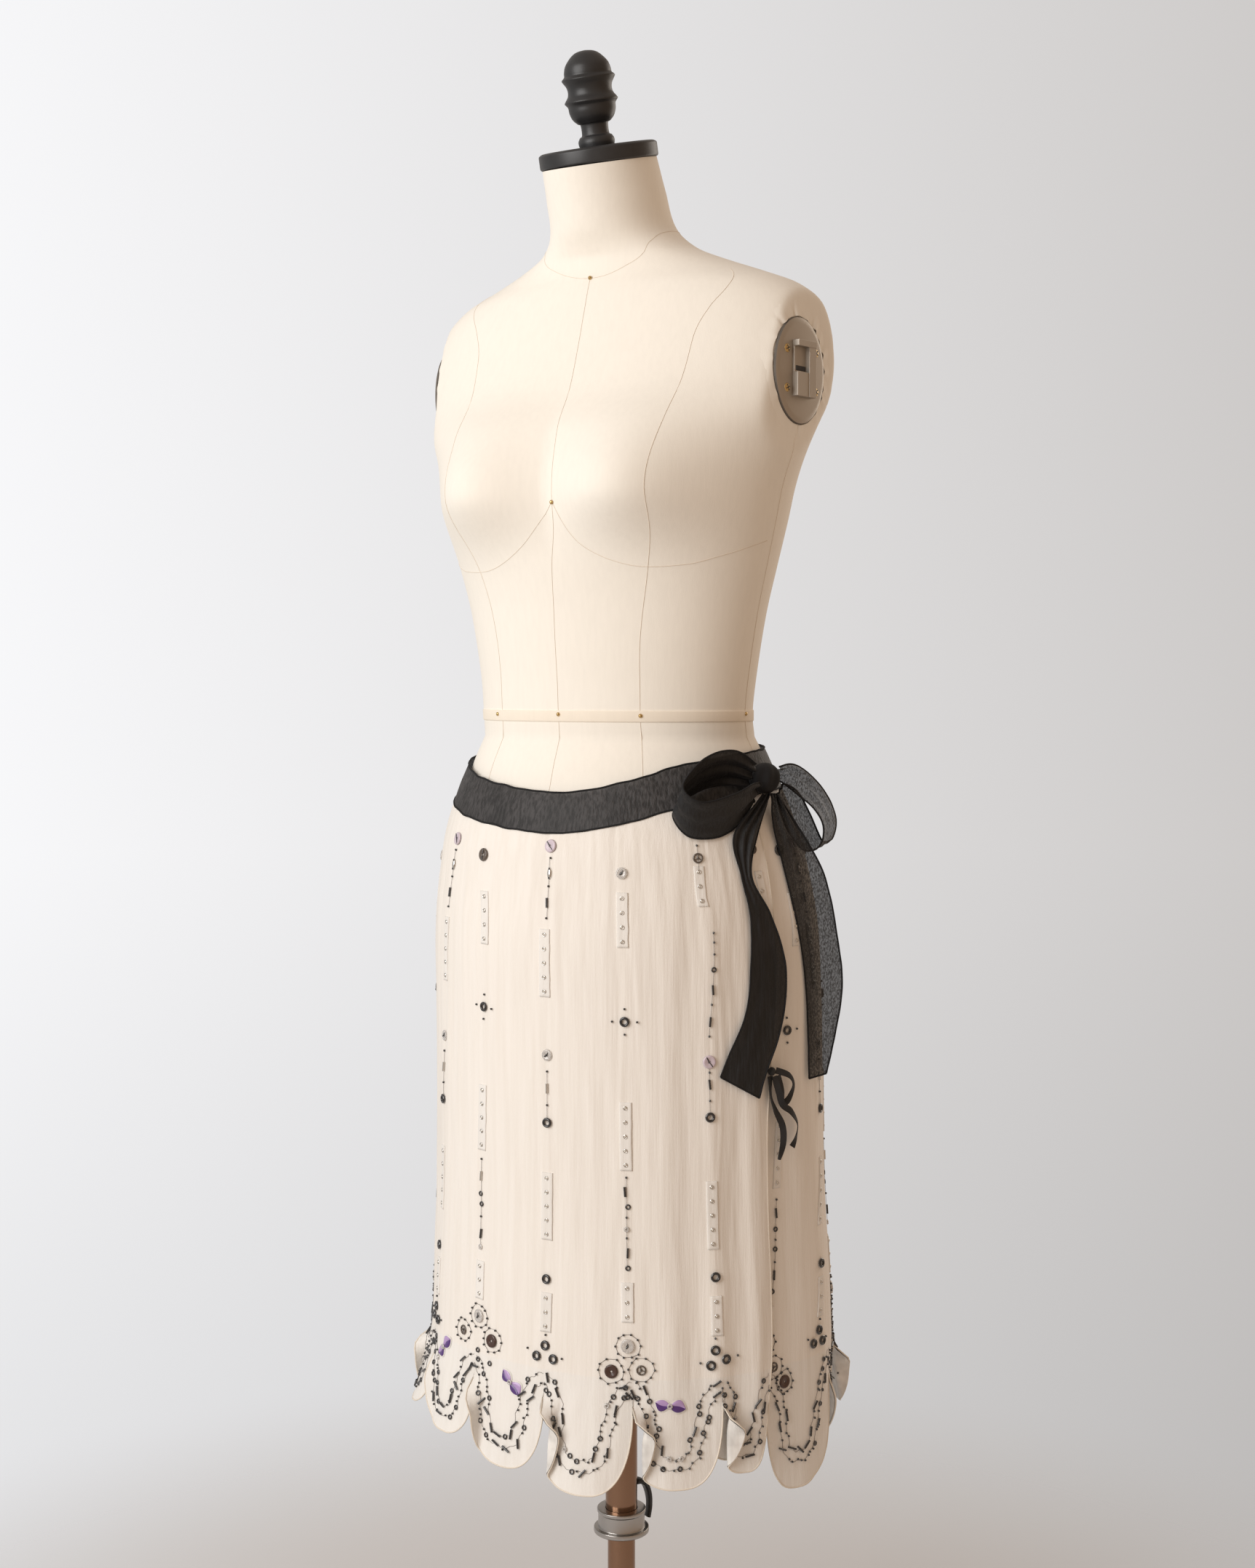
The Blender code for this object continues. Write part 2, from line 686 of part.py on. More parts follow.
def neck_parts(black, collection):
    low = SEAM_GAP
    high = SEAM_GAP + CAP_THICKNESS
    cap = turned("neck_cap", (
        (0.0, high),
        (CAP_RADIUS - CAP_BEVEL, high),
        (CAP_RADIUS, high - CAP_BEVEL),
        (CAP_RADIUS, low + CAP_BEVEL),
        (CAP_RADIUS - CAP_BEVEL, low),
        (0.0, low),
    ), black, collection)
    cap.matrix_world = cap_place()
    base = high + SEAM_GAP
    profile = [(radius, base + height) for height, radius in FINIAL_PROFILE]
    profile.append((0.0, base))
    finial = turned("finial", profile, black, collection, steps=20)
    finial.matrix_world = cap_place()


def arm_plate(name, side, finish, collection):
    mesh = bpy.data.meshes.new(name)
    shape = bmesh.new()
    bmesh.ops.create_cone(
        shape, cap_ends=True, segments=32, radius1=0.5, radius2=0.48, depth=1.0,
        matrix=Matrix.Rotation(math.radians(90.0), 4, "Y"),
    )
    for vert in shape.verts:
        across = PLATE_SIZE[1] * vert.co.y
        off = SEAM_GAP + PLATE_SIZE[0] * (vert.co.x + 0.5)
        vert.co = Vector((
            side * (SHOULDER_CLIP + off * math.cos(PLATE_TURN) + across * math.sin(PLATE_TURN)),
            PLATE_Y + across * math.cos(PLATE_TURN) - off * math.sin(PLATE_TURN),
            PLATE_Z + PLATE_SIZE[2] * vert.co.z,
        ))
    if side < 0.0:
        bmesh.ops.reverse_faces(shape, faces=shape.faces)
    shape.to_mesh(mesh)
    shape.free()
    return add_object(name, mesh, finish, collection)


def clamp_lever(finish, collection):
    """Curved flat lever that hangs behind the collar."""
    turn = math.radians(LEVER_ANGLE)
    out = Vector((math.cos(turn), math.sin(turn), 0.0))
    across = Vector((-out.y, out.x, 0.0)) * (LEVER_WIDTH / 2.0)
    centres = [out * radius + Vector((0.0, 0.0, z)) for radius, z in spline_rows(LEVER_RUN, 9)]
    rows = ([], [])
    for centre in centres:
        rows[0].append(centre - across)
        rows[1].append(centre + across)
    item = cloth_object("clamp_lever", rows, LEVER_THICKNESS, finish, collection, offset=0.0)
    return item


def stand_parts(steel, black, collection):
    base = turned("base", (
        (HUB_RADIUS - 0.003, HUB_TOP_Z),
        (HUB_RADIUS, HUB_TOP_Z - 0.003),
        (HUB_RADIUS, BASE_CROWN),
        (BASE_RADIUS - 0.030, BASE_EDGE + 0.003),
        (BASE_RADIUS - 0.003, BASE_EDGE),
        (BASE_RADIUS, BASE_EDGE - 0.003),
        (BASE_RADIUS, 0.001),
        (BASE_RADIUS - 0.001, 0.0),
        (0.0, 0.0),
        (0.0, BASE_EDGE),
        (POLE_RADIUS + SEAM_GAP, BASE_EDGE),
        (POLE_RADIUS + SEAM_GAP, HUB_TOP_Z),
        (HUB_RADIUS - 0.003, HUB_TOP_Z),
    ), black, collection, steps=36)
    turned("lower_pole", (
        (0.0, POLE_TOP_Z),
        (POLE_RADIUS, POLE_TOP_Z),
        (POLE_RADIUS, BASE_EDGE + SEAM_GAP),
        (0.0, BASE_EDGE + SEAM_GAP),
    ), steel, collection)
    torso_bottom = HIP_RINGS[-1]
    turned("sleeve", (
        (SLEEVE_BORE, torso_bottom - SEAM_GAP),
        (SLEEVE_RADIUS, torso_bottom - SEAM_GAP),
        (SLEEVE_RADIUS, SLEEVE_BOTTOM_Z),
        (SLEEVE_BORE, SLEEVE_BOTTOM_Z),
        (SLEEVE_BORE, torso_bottom - SEAM_GAP),
    ), steel, collection)
    bore = SLEEVE_RADIUS + SEAM_GAP
    lower_bore = SLEEVE_BORE
    step_z = SLEEVE_BOTTOM_Z - SEAM_GAP
    turned("collar", (
        (bore, COLLAR_TOP_Z),
        (COLLAR_RADIUS + 0.001, COLLAR_TOP_Z),
        (COLLAR_RADIUS + 0.001, COLLAR_TOP_Z - 0.003),
        (COLLAR_RADIUS, COLLAR_TOP_Z - 0.004),
        (COLLAR_RADIUS, COLLAR_BOTTOM_Z + COLLAR_FLANGE),
        (COLLAR_FLANGE_RADIUS, COLLAR_BOTTOM_Z + COLLAR_FLANGE),
        (COLLAR_FLANGE_RADIUS, COLLAR_BOTTOM_Z),
        (lower_bore, COLLAR_BOTTOM_Z),
        (lower_bore, step_z),
        (bore, step_z),
        (bore, COLLAR_TOP_Z),
    ), steel, collection)
    return base


def build():
    clear_scene()
    parts = new_collection("skirt_on_dress_form")
    silk = material("ivory_silk", (0.90, 0.83, 0.74), 0.75)
    slip = material("ivory_slip", (0.88, 0.82, 0.74), 0.60)
    sash = material("black_chiffon", (0.02, 0.02, 0.022), 0.80)
    linen = material("cream_linen", (0.93, 0.86, 0.74), 0.85)
    black = material("satin_black", (0.03, 0.03, 0.032), 0.45)
    steel = material("polished_steel", (0.60, 0.57, 0.55), 0.18, 1.0)

    seam_trim = 0.5 * SEAM_GAP / 0.185 / math.radians(24.0) + 0.0005
    front_trims = (seam_trim, 0.0)
    back_trims = (0.0, seam_trim)
    panel("skirt_front", FRONT_TONGUES, front_trims, False, silk, parts)
    panel("skirt_back", BACK_TONGUES, back_trims, True, silk, parts)
    hem_facing("hem_facing_front", FRONT_TONGUES, front_trims, False, silk, parts)
    hem_facing("hem_facing_back", BACK_TONGUES, back_trims, True, silk, parts)
    lining(slip, parts)
    waistband(sash, parts)
    lump("bow_knot", KNOT_ANGLE, KNOT_Z, KNOT_OUT, KNOT_RADII, sash, parts)
    ribbon("bow_loop_front", FRONT_LOOP, BOW_STEPS, sash, parts)
    ribbon("bow_loop_back", BACK_LOOP, BOW_STEPS, sash, parts)
    ribbon("tie_end_front", FRONT_END, BOW_STEPS, sash, parts)
    ribbon("tie_end_back", BACK_END, BOW_STEPS, sash, parts)
    knot_radii = (SIDE_KNOT_RADIUS, SIDE_KNOT_RADIUS * 0.85, SIDE_KNOT_RADIUS * 1.1)
    lump("side_tie_knot", *SIDE_KNOT, knot_radii, sash, parts)
    tie_tube("side_tie_loop", SIDE_LOOP, sash, parts)
    tie_tube("side_tie_end_a", SIDE_END_A, sash, parts)
    tie_tube("side_tie_end_b", SIDE_END_B, sash, parts)
    torso(linen, parts)
    neck_parts(black, parts)
    arm_plate("arm_plate_left", 1.0, steel, parts)
    arm_plate("arm_plate_right", -1.0, steel, parts)
    stand_parts(steel, black, parts)
    clamp_lever(black, parts)


build()
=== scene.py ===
"""Looks of the wrap skirt on its dress form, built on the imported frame.

Metres, +Z up. The form faces -Y and its left side is +X. Angles run round the pole's axis from +X, in
degrees, so the centre front is at -90. Tables of places repeat those of the part's own source.
"""
import math
import random

import bpy
from mathutils import Matrix, Vector, noise


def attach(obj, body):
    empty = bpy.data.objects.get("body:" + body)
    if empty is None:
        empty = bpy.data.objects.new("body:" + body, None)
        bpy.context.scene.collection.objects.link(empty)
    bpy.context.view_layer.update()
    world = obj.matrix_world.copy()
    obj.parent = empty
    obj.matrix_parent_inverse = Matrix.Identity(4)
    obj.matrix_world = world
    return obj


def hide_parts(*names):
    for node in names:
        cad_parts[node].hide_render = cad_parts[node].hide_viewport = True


# Camera of the photograph
PHOTO_WIDTH = 1725
PHOTO_HEIGHT = 2156
CAMERA_AZIMUTH = math.radians(31.0)
CAMERA_DISTANCE = 1.85
CAMERA_HEIGHT = 1.047
FOCAL_PX = 2800.0
HORIZON_Y = 940.0
AXIS_X = 854.0
SENSOR_MM = 36.0

# Skirt sections, outer face of the cloth
SKIRT_SECTIONS = (
    # z, half width, half depth, centre y
    (1.000, 0.1340, 0.0975, -0.0060),
    (0.970, 0.1475, 0.1105, -0.0050),
    (0.940, 0.1600, 0.1240, -0.0040),
    (0.910, 0.1695, 0.1340, -0.0020),
    (0.880, 0.1755, 0.1405, 0.0010),
    (0.830, 0.1820, 0.1490, 0.0050),
    (0.770, 0.1845, 0.1525, 0.0090),
    (0.600, 0.1870, 0.1560, 0.0130),
    (0.500, 0.1920, 0.1605, 0.0150),
    (0.420, 0.1940, 0.1640, 0.0150),
    (0.330, 0.1945, 0.1650, 0.0150),
)
WAIST_SEAM = (
    # angle, z
    (-180.0, 0.949),
    (-150.0, 0.9405),
    (-126.0, 0.9300),
    (-100.0, 0.9220),
    (-82.0, 0.9205),
    (-61.0, 0.9310),
    (-45.0, 0.9425),
    (-10.0, 0.9530),
    (60.0, 0.9590),
    (120.0, 0.9570),
    (180.0, 0.949),
)
BAND_HEIGHT = 0.034
FOLDS = (
    # angle, half angle, depth, top z, bottom z: ridges out, troughs in
    (-170.0, 7.0, 0.0030, 0.86, 0.40),
    (-151.0, 6.0, -0.0025, 0.82, 0.42),
    (-128.0, 7.0, 0.0020, 0.80, 0.40),
    (-74.0, 8.0, 0.0015, 0.62, 0.38),
    (-53.0, 5.0, 0.0013, 0.84, 0.44),
    (-46.0, 4.0, -0.0016, 0.88, 0.42),
    (-39.0, 4.0, 0.0015, 0.90, 0.42),
    (-33.0, 3.4, -0.0015, 0.88, 0.44),
    (-27.0, 3.6, 0.0022, 0.86, 0.42),
    (3.0, 6.0, 0.0025, 0.84, 0.42),
    (22.0, 6.0, -0.0030, 0.86, 0.42),
    (40.0, 7.0, 0.0030, 0.86, 0.40),
    (62.0, 6.0, -0.0030, 0.84, 0.42),
    (84.0, 8.0, 0.0035, 0.80, 0.40),
    (108.0, 6.0, -0.0030, 0.86, 0.42),
    (130.0, 7.0, 0.0035, 0.84, 0.40),
    (152.0, 6.0, -0.0025, 0.86, 0.42),
)
FREE_EDGE = (
    # z, angle
    (0.360, -25.5),
    (0.420, -24.5),
    (0.480, -22.3),
    (0.660, -21.8),
    (0.720, -20.0),
    (0.800, -16.8),
    (0.870, -15.7),
    (0.960, -16.0),
)
NOTCH_Z = 0.437
FLARE_START = 0.030
TONGUE_POWER = 2.5
FRONT_TONGUES = (
    # start angle, end angle, drop, flare, lean, roll of the start margin
    (-182.5, -158.5, 0.064, 0.024, 0.0, 0.6),
    (-158.5, -134.5, 0.054, 0.018, -1.0, 0.7),
    (-134.5, -110.5, 0.056, 0.010, 1.0, 0.2),
    (-110.5, -86.5, 0.066, 0.008, 1.0, 0.6),
    (-86.5, -62.5, 0.074, 0.014, 0.5, 1.0),
    (-62.5, -38.5, 0.068, 0.008, 0.5, 1.0),
    (-38.5, None, 0.059, 0.006, 0.0, 0.8),
)
BACK_TONGUES = (
    # start angle, end angle, drop, flare, lean, roll of the start margin
    (-45.0, -24.0, 0.050, 0.000, 0.0, 0.0),
    (-24.0, 6.0, 0.086, 0.003, -3.0, 0.0),
    (6.0, 31.36, 0.066, -0.011, 0.0, 0.2),
    (31.36, 55.71, 0.062, 0.014, 1.0, 0.6),
    (55.71, 80.07, 0.066, 0.010, -1.0, 0.5),
    (80.07, 104.43, 0.062, 0.015, 0.5, 0.8),
    (104.43, 128.79, 0.066, 0.010, 1.0, 0.4),
    (128.79, 153.14, 0.062, 0.016, -0.5, 0.8),
    (153.14, 177.5, 0.066, 0.011, 0.0, 0.6),
)
HEM_START_Z = 0.472
UNDERLAP_TOP = 0.0017
UNDERLAP_LOW = 0.0045
UNDERLAP_START = -4.0
UNDERLAP_FULL = -16.0
BAND_GAP = 0.0007
LINING_HEM_Z = 0.462
FACING_WIDTH = 0.019

# Sash bow and the narrow side tie
KNOT_ANGLE = -10.0
KNOT_Z = 0.966
KNOT_RADII = (0.0150, 0.0115, 0.0135)
KNOT_OUT = 0.0134
FRONT_LOOP = (
    # angle, z, out, width, width direction along, out and up
    (-16.3, 0.9690, 0.0145, 0.020, 0.10, 0.45, 0.90),
    (-27.0, 0.9760, 0.0165, 0.034, 0.15, 0.50, 0.82),
    (-39.0, 0.9690, 0.0215, 0.039, 0.15, 0.58, 0.78),
    (-46.5, 0.9500, 0.0225, 0.038, 0.15, 0.72, 0.65),
    (-42.0, 0.9340, 0.0195, 0.038, 0.15, 0.55, 0.78),
    (-31.5, 0.9360, 0.0160, 0.040, 0.10, 0.40, 0.88),
    (-23.0, 0.9450, 0.0140, 0.036, 0.10, 0.35, 0.90),
    (-16.8, 0.9540, 0.0125, 0.020, 0.10, 0.38, 0.90),
)
BACK_LOOP = (
    # angle, z, out, width, width direction along, out and up
    (-2.9, 0.9695, 0.0150, 0.013, 0.10, 0.50, 0.80),
    (4.0, 0.9680, 0.0215, 0.024, 0.70, 0.35, 0.55),
    (11.0, 0.9480, 0.0300, 0.036, 0.90, 0.25, 0.20),
    (15.5, 0.9270, 0.0320, 0.038, 0.95, 0.20, 0.10),
    (13.0, 0.9080, 0.0240, 0.038, 0.95, 0.15, 0.10),
    (8.0, 0.9060, 0.0150, 0.038, 0.95, 0.12, 0.15),
    (4.0, 0.9240, 0.0125, 0.036, 0.85, 0.15, 0.40),
    (1.2, 0.9430, 0.0120, 0.026, 0.60, 0.25, 0.60),
    (-1.6, 0.9560, 0.0120, 0.012, 0.10, 0.45, 0.80),
)
FRONT_END = (
    # angle, z, out, width, width direction along, out and up
    (-12.0, 0.9530, 0.0132, 0.009, 0.95, 0.15, 0.10),
    (-23.5, 0.9200, 0.0060, 0.023, 0.98, 0.10, 0.00),
    (-25.6, 0.8850, 0.0032, 0.009, 0.98, 0.20, 0.00),
    (-22.2, 0.8520, 0.0034, 0.020, 0.98, 0.08, -0.05),
    (-20.7, 0.8120, 0.0034, 0.034, 0.98, 0.10, -0.05),
    (-22.7, 0.7690, 0.0034, 0.038, 0.98, 0.10, 0.05),
    (-29.0, 0.7280, 0.0038, 0.038, 0.92, 0.10, -0.42),
    (-31.8, 0.7060, 0.0044, 0.040, 0.88, 0.10, -0.50),
)
BACK_END = (
    # angle, z, out, width, width direction along, out and up
    (-7.8, 0.9530, 0.0132, 0.008, 0.85, 0.30, 0.00),
    (-5.0, 0.9240, 0.0095, 0.024, 0.80, 0.50, 0.00),
    (-1.0, 0.8800, 0.0112, 0.037, 0.80, 0.58, 0.00),
    (1.5, 0.8300, 0.0116, 0.037, 0.80, 0.60, 0.00),
    (2.8, 0.7850, 0.0116, 0.037, 0.80, 0.60, 0.00),
    (1.0, 0.7450, 0.0100, 0.028, 0.80, 0.60, 0.05),
    (-1.0, 0.7060, 0.0080, 0.017, 0.80, 0.60, 0.20),
)
SIDE_KNOT = (-20.6, 0.7170, 0.0032)
SIDE_KNOT_RADIUS = 0.0034
SIDE_LOOP = (
    # angle, z, out
    (-19.2, 0.7175, 0.0042),
    (-14.5, 0.7120, 0.0065),
    (-12.5, 0.7030, 0.0060),
    (-14.0, 0.6920, 0.0045),
    (-16.2, 0.6890, 0.0042),
    (-17.0, 0.6990, 0.0050),
    (-18.9, 0.7130, 0.0052),
)
SIDE_END_A = (
    # angle, z, out
    (-21.3, 0.7130, 0.0034),
    (-21.2, 0.6960, 0.0036),
    (-19.6, 0.6830, 0.0042),
    (-17.2, 0.6690, 0.0052),
    (-16.8, 0.6540, 0.0046),
    (-18.4, 0.6400, 0.0040),
)
SIDE_END_B = (
    # angle, z, out
    (-20.1, 0.7130, 0.0052),
    (-19.2, 0.6990, 0.0078),
    (-17.9, 0.6880, 0.0082),
    (-13.6, 0.6800, 0.0060),
    (-10.4, 0.6680, 0.0050),
    (-11.2, 0.6560, 0.0045),
    (-12.8, 0.6490, 0.0042),
)
TIE_WIDTH = 0.0056

# Dress form
TORSO_SECTIONS = (
    # z, half width, half depth, centre y, tilt of the ring
    (1.5040, 0.0500, 0.0510, -0.0370, 1.00),
    (1.4780, 0.0520, 0.0540, -0.0260, 0.75),
    (1.4480, 0.0560, 0.0580, -0.0130, 0.45),
    (1.4310, 0.0740, 0.0610, -0.0010, 0.20),
    (1.4180, 0.1040, 0.0650, 0.0080, 0.00),
    (1.4050, 0.1390, 0.0710, 0.0120, 0.00),
    (1.3920, 0.1700, 0.0770, 0.0120, 0.00),
    (1.3720, 0.1930, 0.0840, 0.0130, 0.00),
    (1.3350, 0.2060, 0.0920, 0.0110, 0.00),
    (1.3000, 0.2030, 0.0990, 0.0060, 0.00),
    (1.2700, 0.1900, 0.1070, -0.0030, 0.00),
    (1.2450, 0.1780, 0.1110, -0.0050, 0.00),
    (1.2200, 0.1690, 0.1130, -0.0060, 0.00),
    (1.1900, 0.1620, 0.1120, -0.0070, 0.00),
    (1.1500, 0.1520, 0.1080, -0.0080, 0.00),
    (1.1080, 0.1420, 0.1010, -0.0080, 0.00),
    (1.0540, 0.1330, 0.0955, -0.0080, 0.00),
    (1.0200, 0.1300, 0.0930, -0.0090, 0.00),
    (1.0000, 0.1304, 0.0938, -0.0062, 0.00),
)
HIP_CLEARANCE = (
    # z, how far the form stays inside the skirt's outer face
    (1.000, 0.0035),
    (0.975, 0.0035),
    (0.955, 0.0056),
    (0.930, 0.0076),
    (0.900, 0.0100),
    (0.850, 0.0150),
    (0.780, 0.0190),
    (0.730, 0.0260),
    (0.705, 0.0400),
    (0.700, 0.0600),
)
TORSO_BOTTOM_Z = 0.700
SHOULDER_CLIP = 0.180
NECK_TILT = math.radians(15.0)
BUST_X = 0.080
BUST_Z = 1.210
BUST_DEPTH = 0.039
BUST_WIDTH = 0.062
BUST_RISE = 0.062
BUST_FALL = 0.040
CAP_RADIUS = 0.0525
CAP_THICKNESS = 0.014
FINIAL_PROFILE = (
    # height, radius, from the top down
    (0.0810, 0.0000),
    (0.0798, 0.0075),
    (0.0765, 0.0130),
    (0.0700, 0.0186),
    (0.0640, 0.0206),
    (0.0608, 0.0209),
    (0.0588, 0.0228),
    (0.0576, 0.0235),
    (0.0556, 0.0224),
    (0.0520, 0.0202),
    (0.0480, 0.0194),
    (0.0440, 0.0201),
    (0.0404, 0.0226),
    (0.0386, 0.0235),
    (0.0368, 0.0221),
    (0.0348, 0.0209),
    (0.0300, 0.0204),
    (0.0245, 0.0182),
    (0.0205, 0.0142),
    (0.0193, 0.0122),
    (0.0108, 0.0121),
    (0.0090, 0.0142),
    (0.0050, 0.0161),
    (0.0000, 0.0152),
)
PLATE_Z = 1.3135
PLATE_Y = -0.007
PLATE_TURN = math.radians(10.0)
PLATE_SIZE = (0.0038, 0.070, 0.091)

# Stand
POLE_RADIUS = 0.0127
SLEEVE_RADIUS = 0.0147
COLLAR_TOP_Z = 0.2860
COLLAR_BOTTOM_Z = 0.2640
COLLAR_RADIUS = 0.0215
COLLAR_FLANGE_RADIUS = 0.0255
LEVER_ANGLE = 62.0
LEVER_WIDTH = 0.0110
LEVER_RUN = (
    # distance from the pole's axis, z
    (0.0151, 0.3075),
    (0.0200, 0.3068),
    (0.0255, 0.3025),
    (0.0292, 0.2930),
    (0.0302, 0.2820),
    (0.0285, 0.2710),
)
BASE_RADIUS = 0.190
HUB_RADIUS = 0.030
HUB_TOP_Z = 0.048

UP = Vector((0.0, 0.0, 1.0))


def smooth_step(value):
    value = min(1.0, max(0.0, value))
    return value * value * (3.0 - 2.0 * value)


def read_table(table, key):
    """Smooth value of each column after the first, where the first column is key."""
    rows = sorted(table)
    keys = [row[0] for row in rows]
    if key <= keys[0]:
        return rows[0][1:]
    if key >= keys[-1]:
        return rows[-1][1:]
    index = max(i for i in range(len(keys) - 1) if keys[i] <= key)
    span = keys[index + 1] - keys[index]
    t = (key - keys[index]) / span
    values = []
    for column in range(1, len(rows[0])):
        slopes = []
        for i in (index, index + 1):
            low = max(0, i - 1)
            high = min(len(rows) - 1, i + 1)
            slopes.append((rows[high][column] - rows[low][column]) / (keys[high] - keys[low]) * span)
        a = rows[index][column]
        b = rows[index + 1][column]
        values.append(
            a * (1 + 2 * t) * (1 - t) ** 2 + slopes[0] * t * (1 - t) ** 2
            + b * t * t * (3 - 2 * t) + slopes[1] * t * t * (t - 1)
        )
    return tuple(values)


def spline_rows(rows, count):
    """Catmull-Rom through rows of numbers, count samples from the first row to the last."""
    result = []
    last = len(rows) - 1
    for step in range(count):
        place = step / (count - 1) * last
        index = min(int(place), last - 1)
        t = place - index
        p0 = rows[max(0, index - 1)]
        p1 = rows[index]
        p2 = rows[index + 1]
        p3 = rows[min(last, index + 2)]
        result.append(tuple(
            0.5 * (2 * b + (c - a) * t + (2 * a - 5 * b + 4 * c - d) * t * t + (3 * b - a - 3 * c + d) * t ** 3)
            for a, b, c, d in zip(p0, p1, p2, p3)
        ))
    return result


def spaced(start, stop, count):
    return [start + (stop - start) * i / (count - 1) for i in range(count)]


class Shape:
    """Points and faces gathered for one mesh, each face with its material's place."""

    def __init__(self):
        self.points = []
        self.faces = []
        self.slots = []

    def grid(self, rows, slot=0, closed=False, flip=False):
        """Surface through rows of points, each of the same length."""
        first = len(self.points)
        columns = len(rows[0])
        for row in rows:
            self.points.extend(tuple(point) for point in row)
        for r in range(len(rows) - 1):
            for c in range(columns if closed else columns - 1):
                nxt = (c + 1) % columns
                a = first + r * columns
                b = a + columns
                face = (a + c, b + c, b + nxt, a + nxt)
                self.faces.append(face[::-1] if flip else face)
                self.slots.append(slot)

    def tube(self, path, radius, slot=0, sides=6, closed=False):
        """Round tube along a path, with its ends closed."""
        path = [Vector(point) for point in path]
        count = len(path)
        rows = []
        side = None
        for i, point in enumerate(path):
            before = path[(i - 1) % count] if closed or i > 0 else point
            after = path[(i + 1) % count] if closed or i < count - 1 else point
            ahead = (after - before).normalized()
            if side is None:
                side = ahead.orthogonal()
            side = (side - ahead * side.dot(ahead)).normalized()
            other = ahead.cross(side)
            ring = []
            for k in range(sides):
                turn = 2.0 * math.pi * k / sides
                ring.append(point + (side * math.cos(turn) + other * math.sin(turn)) * radius)
            rows.append(ring)
        if closed:
            rows.append(rows[0])
        self.grid(rows, slot, closed=True, flip=True)
        if not closed:
            for ring, turn_over in ((rows[0], False), (rows[-1], True)):
                first = len(self.points)
                self.points.extend(tuple(point) for point in ring)
                face = tuple(range(first, first + sides))
                self.faces.append(face[::-1] if turn_over else face)
                self.slots.append(slot)

    def lathe(self, place, profile, slot=0, steps=16, squash=(1.0, 1.0)):
        """Profile of radius and height points turned about the place's own Z."""
        rows = []
        for radius, height in profile:
            row = []
            for k in range(steps):
                turn = 2.0 * math.pi * k / steps
                local = Vector((radius * math.cos(turn) * squash[0], radius * math.sin(turn) * squash[1], height))
                row.append(place @ local)
            rows.append(row)
        self.grid(rows, slot, closed=True)

    def ball(self, place, radius, slot=0, sides=8, flat=1.0):
        profile = []
        for k in range(5):
            turn = math.pi * k / 4
            profile.append((radius * math.sin(turn), radius * flat * math.cos(turn)))
        self.lathe(place, profile, slot, sides)

    def ring(self, place, radius, thickness, slot=0, steps=20, sides=8):
        """Torus round the place's Z, its tube resting on the place's plane."""
        profile = []
        for k in range(sides + 1):
            turn = 2.0 * math.pi * k / sides
            profile.append((radius + thickness * math.cos(turn), thickness * (1.0 - math.sin(turn))))
        self.lathe(place, profile, slot, steps)

    def build(self, name, *materials, body="form", smooth=True):
        mesh = bpy.data.meshes.new(name)
        mesh.from_pydata(self.points, [], self.faces)
        for finish in materials:
            mesh.materials.append(finish)
        mesh.polygons.foreach_set("material_index", self.slots)
        if smooth:
            mesh.shade_smooth()
        mesh.update()
        item = bpy.data.objects.new(name, mesh)
        bpy.context.scene.collection.objects.link(item)
        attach(item, body)
        return item


# Materials

def new_material(name, colour, roughness, **sockets):
    result = bpy.data.materials.new(name)
    result.use_nodes = True
    shader = result.node_tree.nodes["Principled BSDF"]
    shader.inputs["Base Color"].default_value = (*colour, 1.0)
    shader.inputs["Roughness"].default_value = roughness
    for socket, value in sockets.items():
        shader.inputs[socket.replace("_", " ")].default_value = value
    return result


def stretched_noise(finish, scale, stretch, detail=2.0, turn=(0.0, 0.0, 0.0)):
    """Noise over the object's own space, drawn out along the axes by stretch; returns its output."""
    nodes = finish.node_tree.nodes
    links = finish.node_tree.links
    place = nodes.new("ShaderNodeTexCoord")
    mapping = nodes.new("ShaderNodeMapping")
    mapping.inputs["Scale"].default_value = stretch
    mapping.inputs["Rotation"].default_value = turn
    texture = nodes.new("ShaderNodeTexNoise")
    texture.inputs["Scale"].default_value = scale
    texture.inputs["Detail"].default_value = detail
    links.new(place.outputs["Object"], mapping.inputs["Vector"])
    links.new(mapping.outputs["Vector"], texture.inputs["Vector"])
    return texture.outputs["Fac"]


def add_bump(finish, height, strength, distance):
    """Bump from a height output, laid over the bumps that the material has already."""
    nodes = finish.node_tree.nodes
    links = finish.node_tree.links
    shader = nodes["Principled BSDF"]
    bump = nodes.new("ShaderNodeBump")
    bump.inputs["Strength"].default_value = strength
    bump.inputs["Distance"].default_value = distance
    links.new(height, bump.inputs["Height"])
    if shader.inputs["Normal"].is_linked:
        links.new(shader.inputs["Normal"].links[0].from_socket, bump.inputs["Normal"])
    links.new(bump.outputs["Normal"], shader.inputs["Normal"])


def ramp(finish, factor, stops):
    """Colour ramp over a factor; stops are places and colours."""
    nodes = finish.node_tree.nodes
    node = nodes.new("ShaderNodeValToRGB")
    elements = node.color_ramp.elements
    while len(elements) < len(stops):
        elements.new(0.5)
    for element, (place, colour) in zip(elements, stops):
        element.position = place
        element.color = (*colour, 1.0)
    finish.node_tree.links.new(factor, node.inputs["Fac"])
    return node.outputs["Color"]


def multiply(finish, first, second, share=1.0):
    node = finish.node_tree.nodes.new("ShaderNodeMix")
    node.data_type = "RGBA"
    node.blend_type = "MULTIPLY"
    node.inputs["Factor"].default_value = share
    finish.node_tree.links.new(first, node.inputs["A"])
    finish.node_tree.links.new(second, node.inputs["B"])
    return node.outputs["Result"]


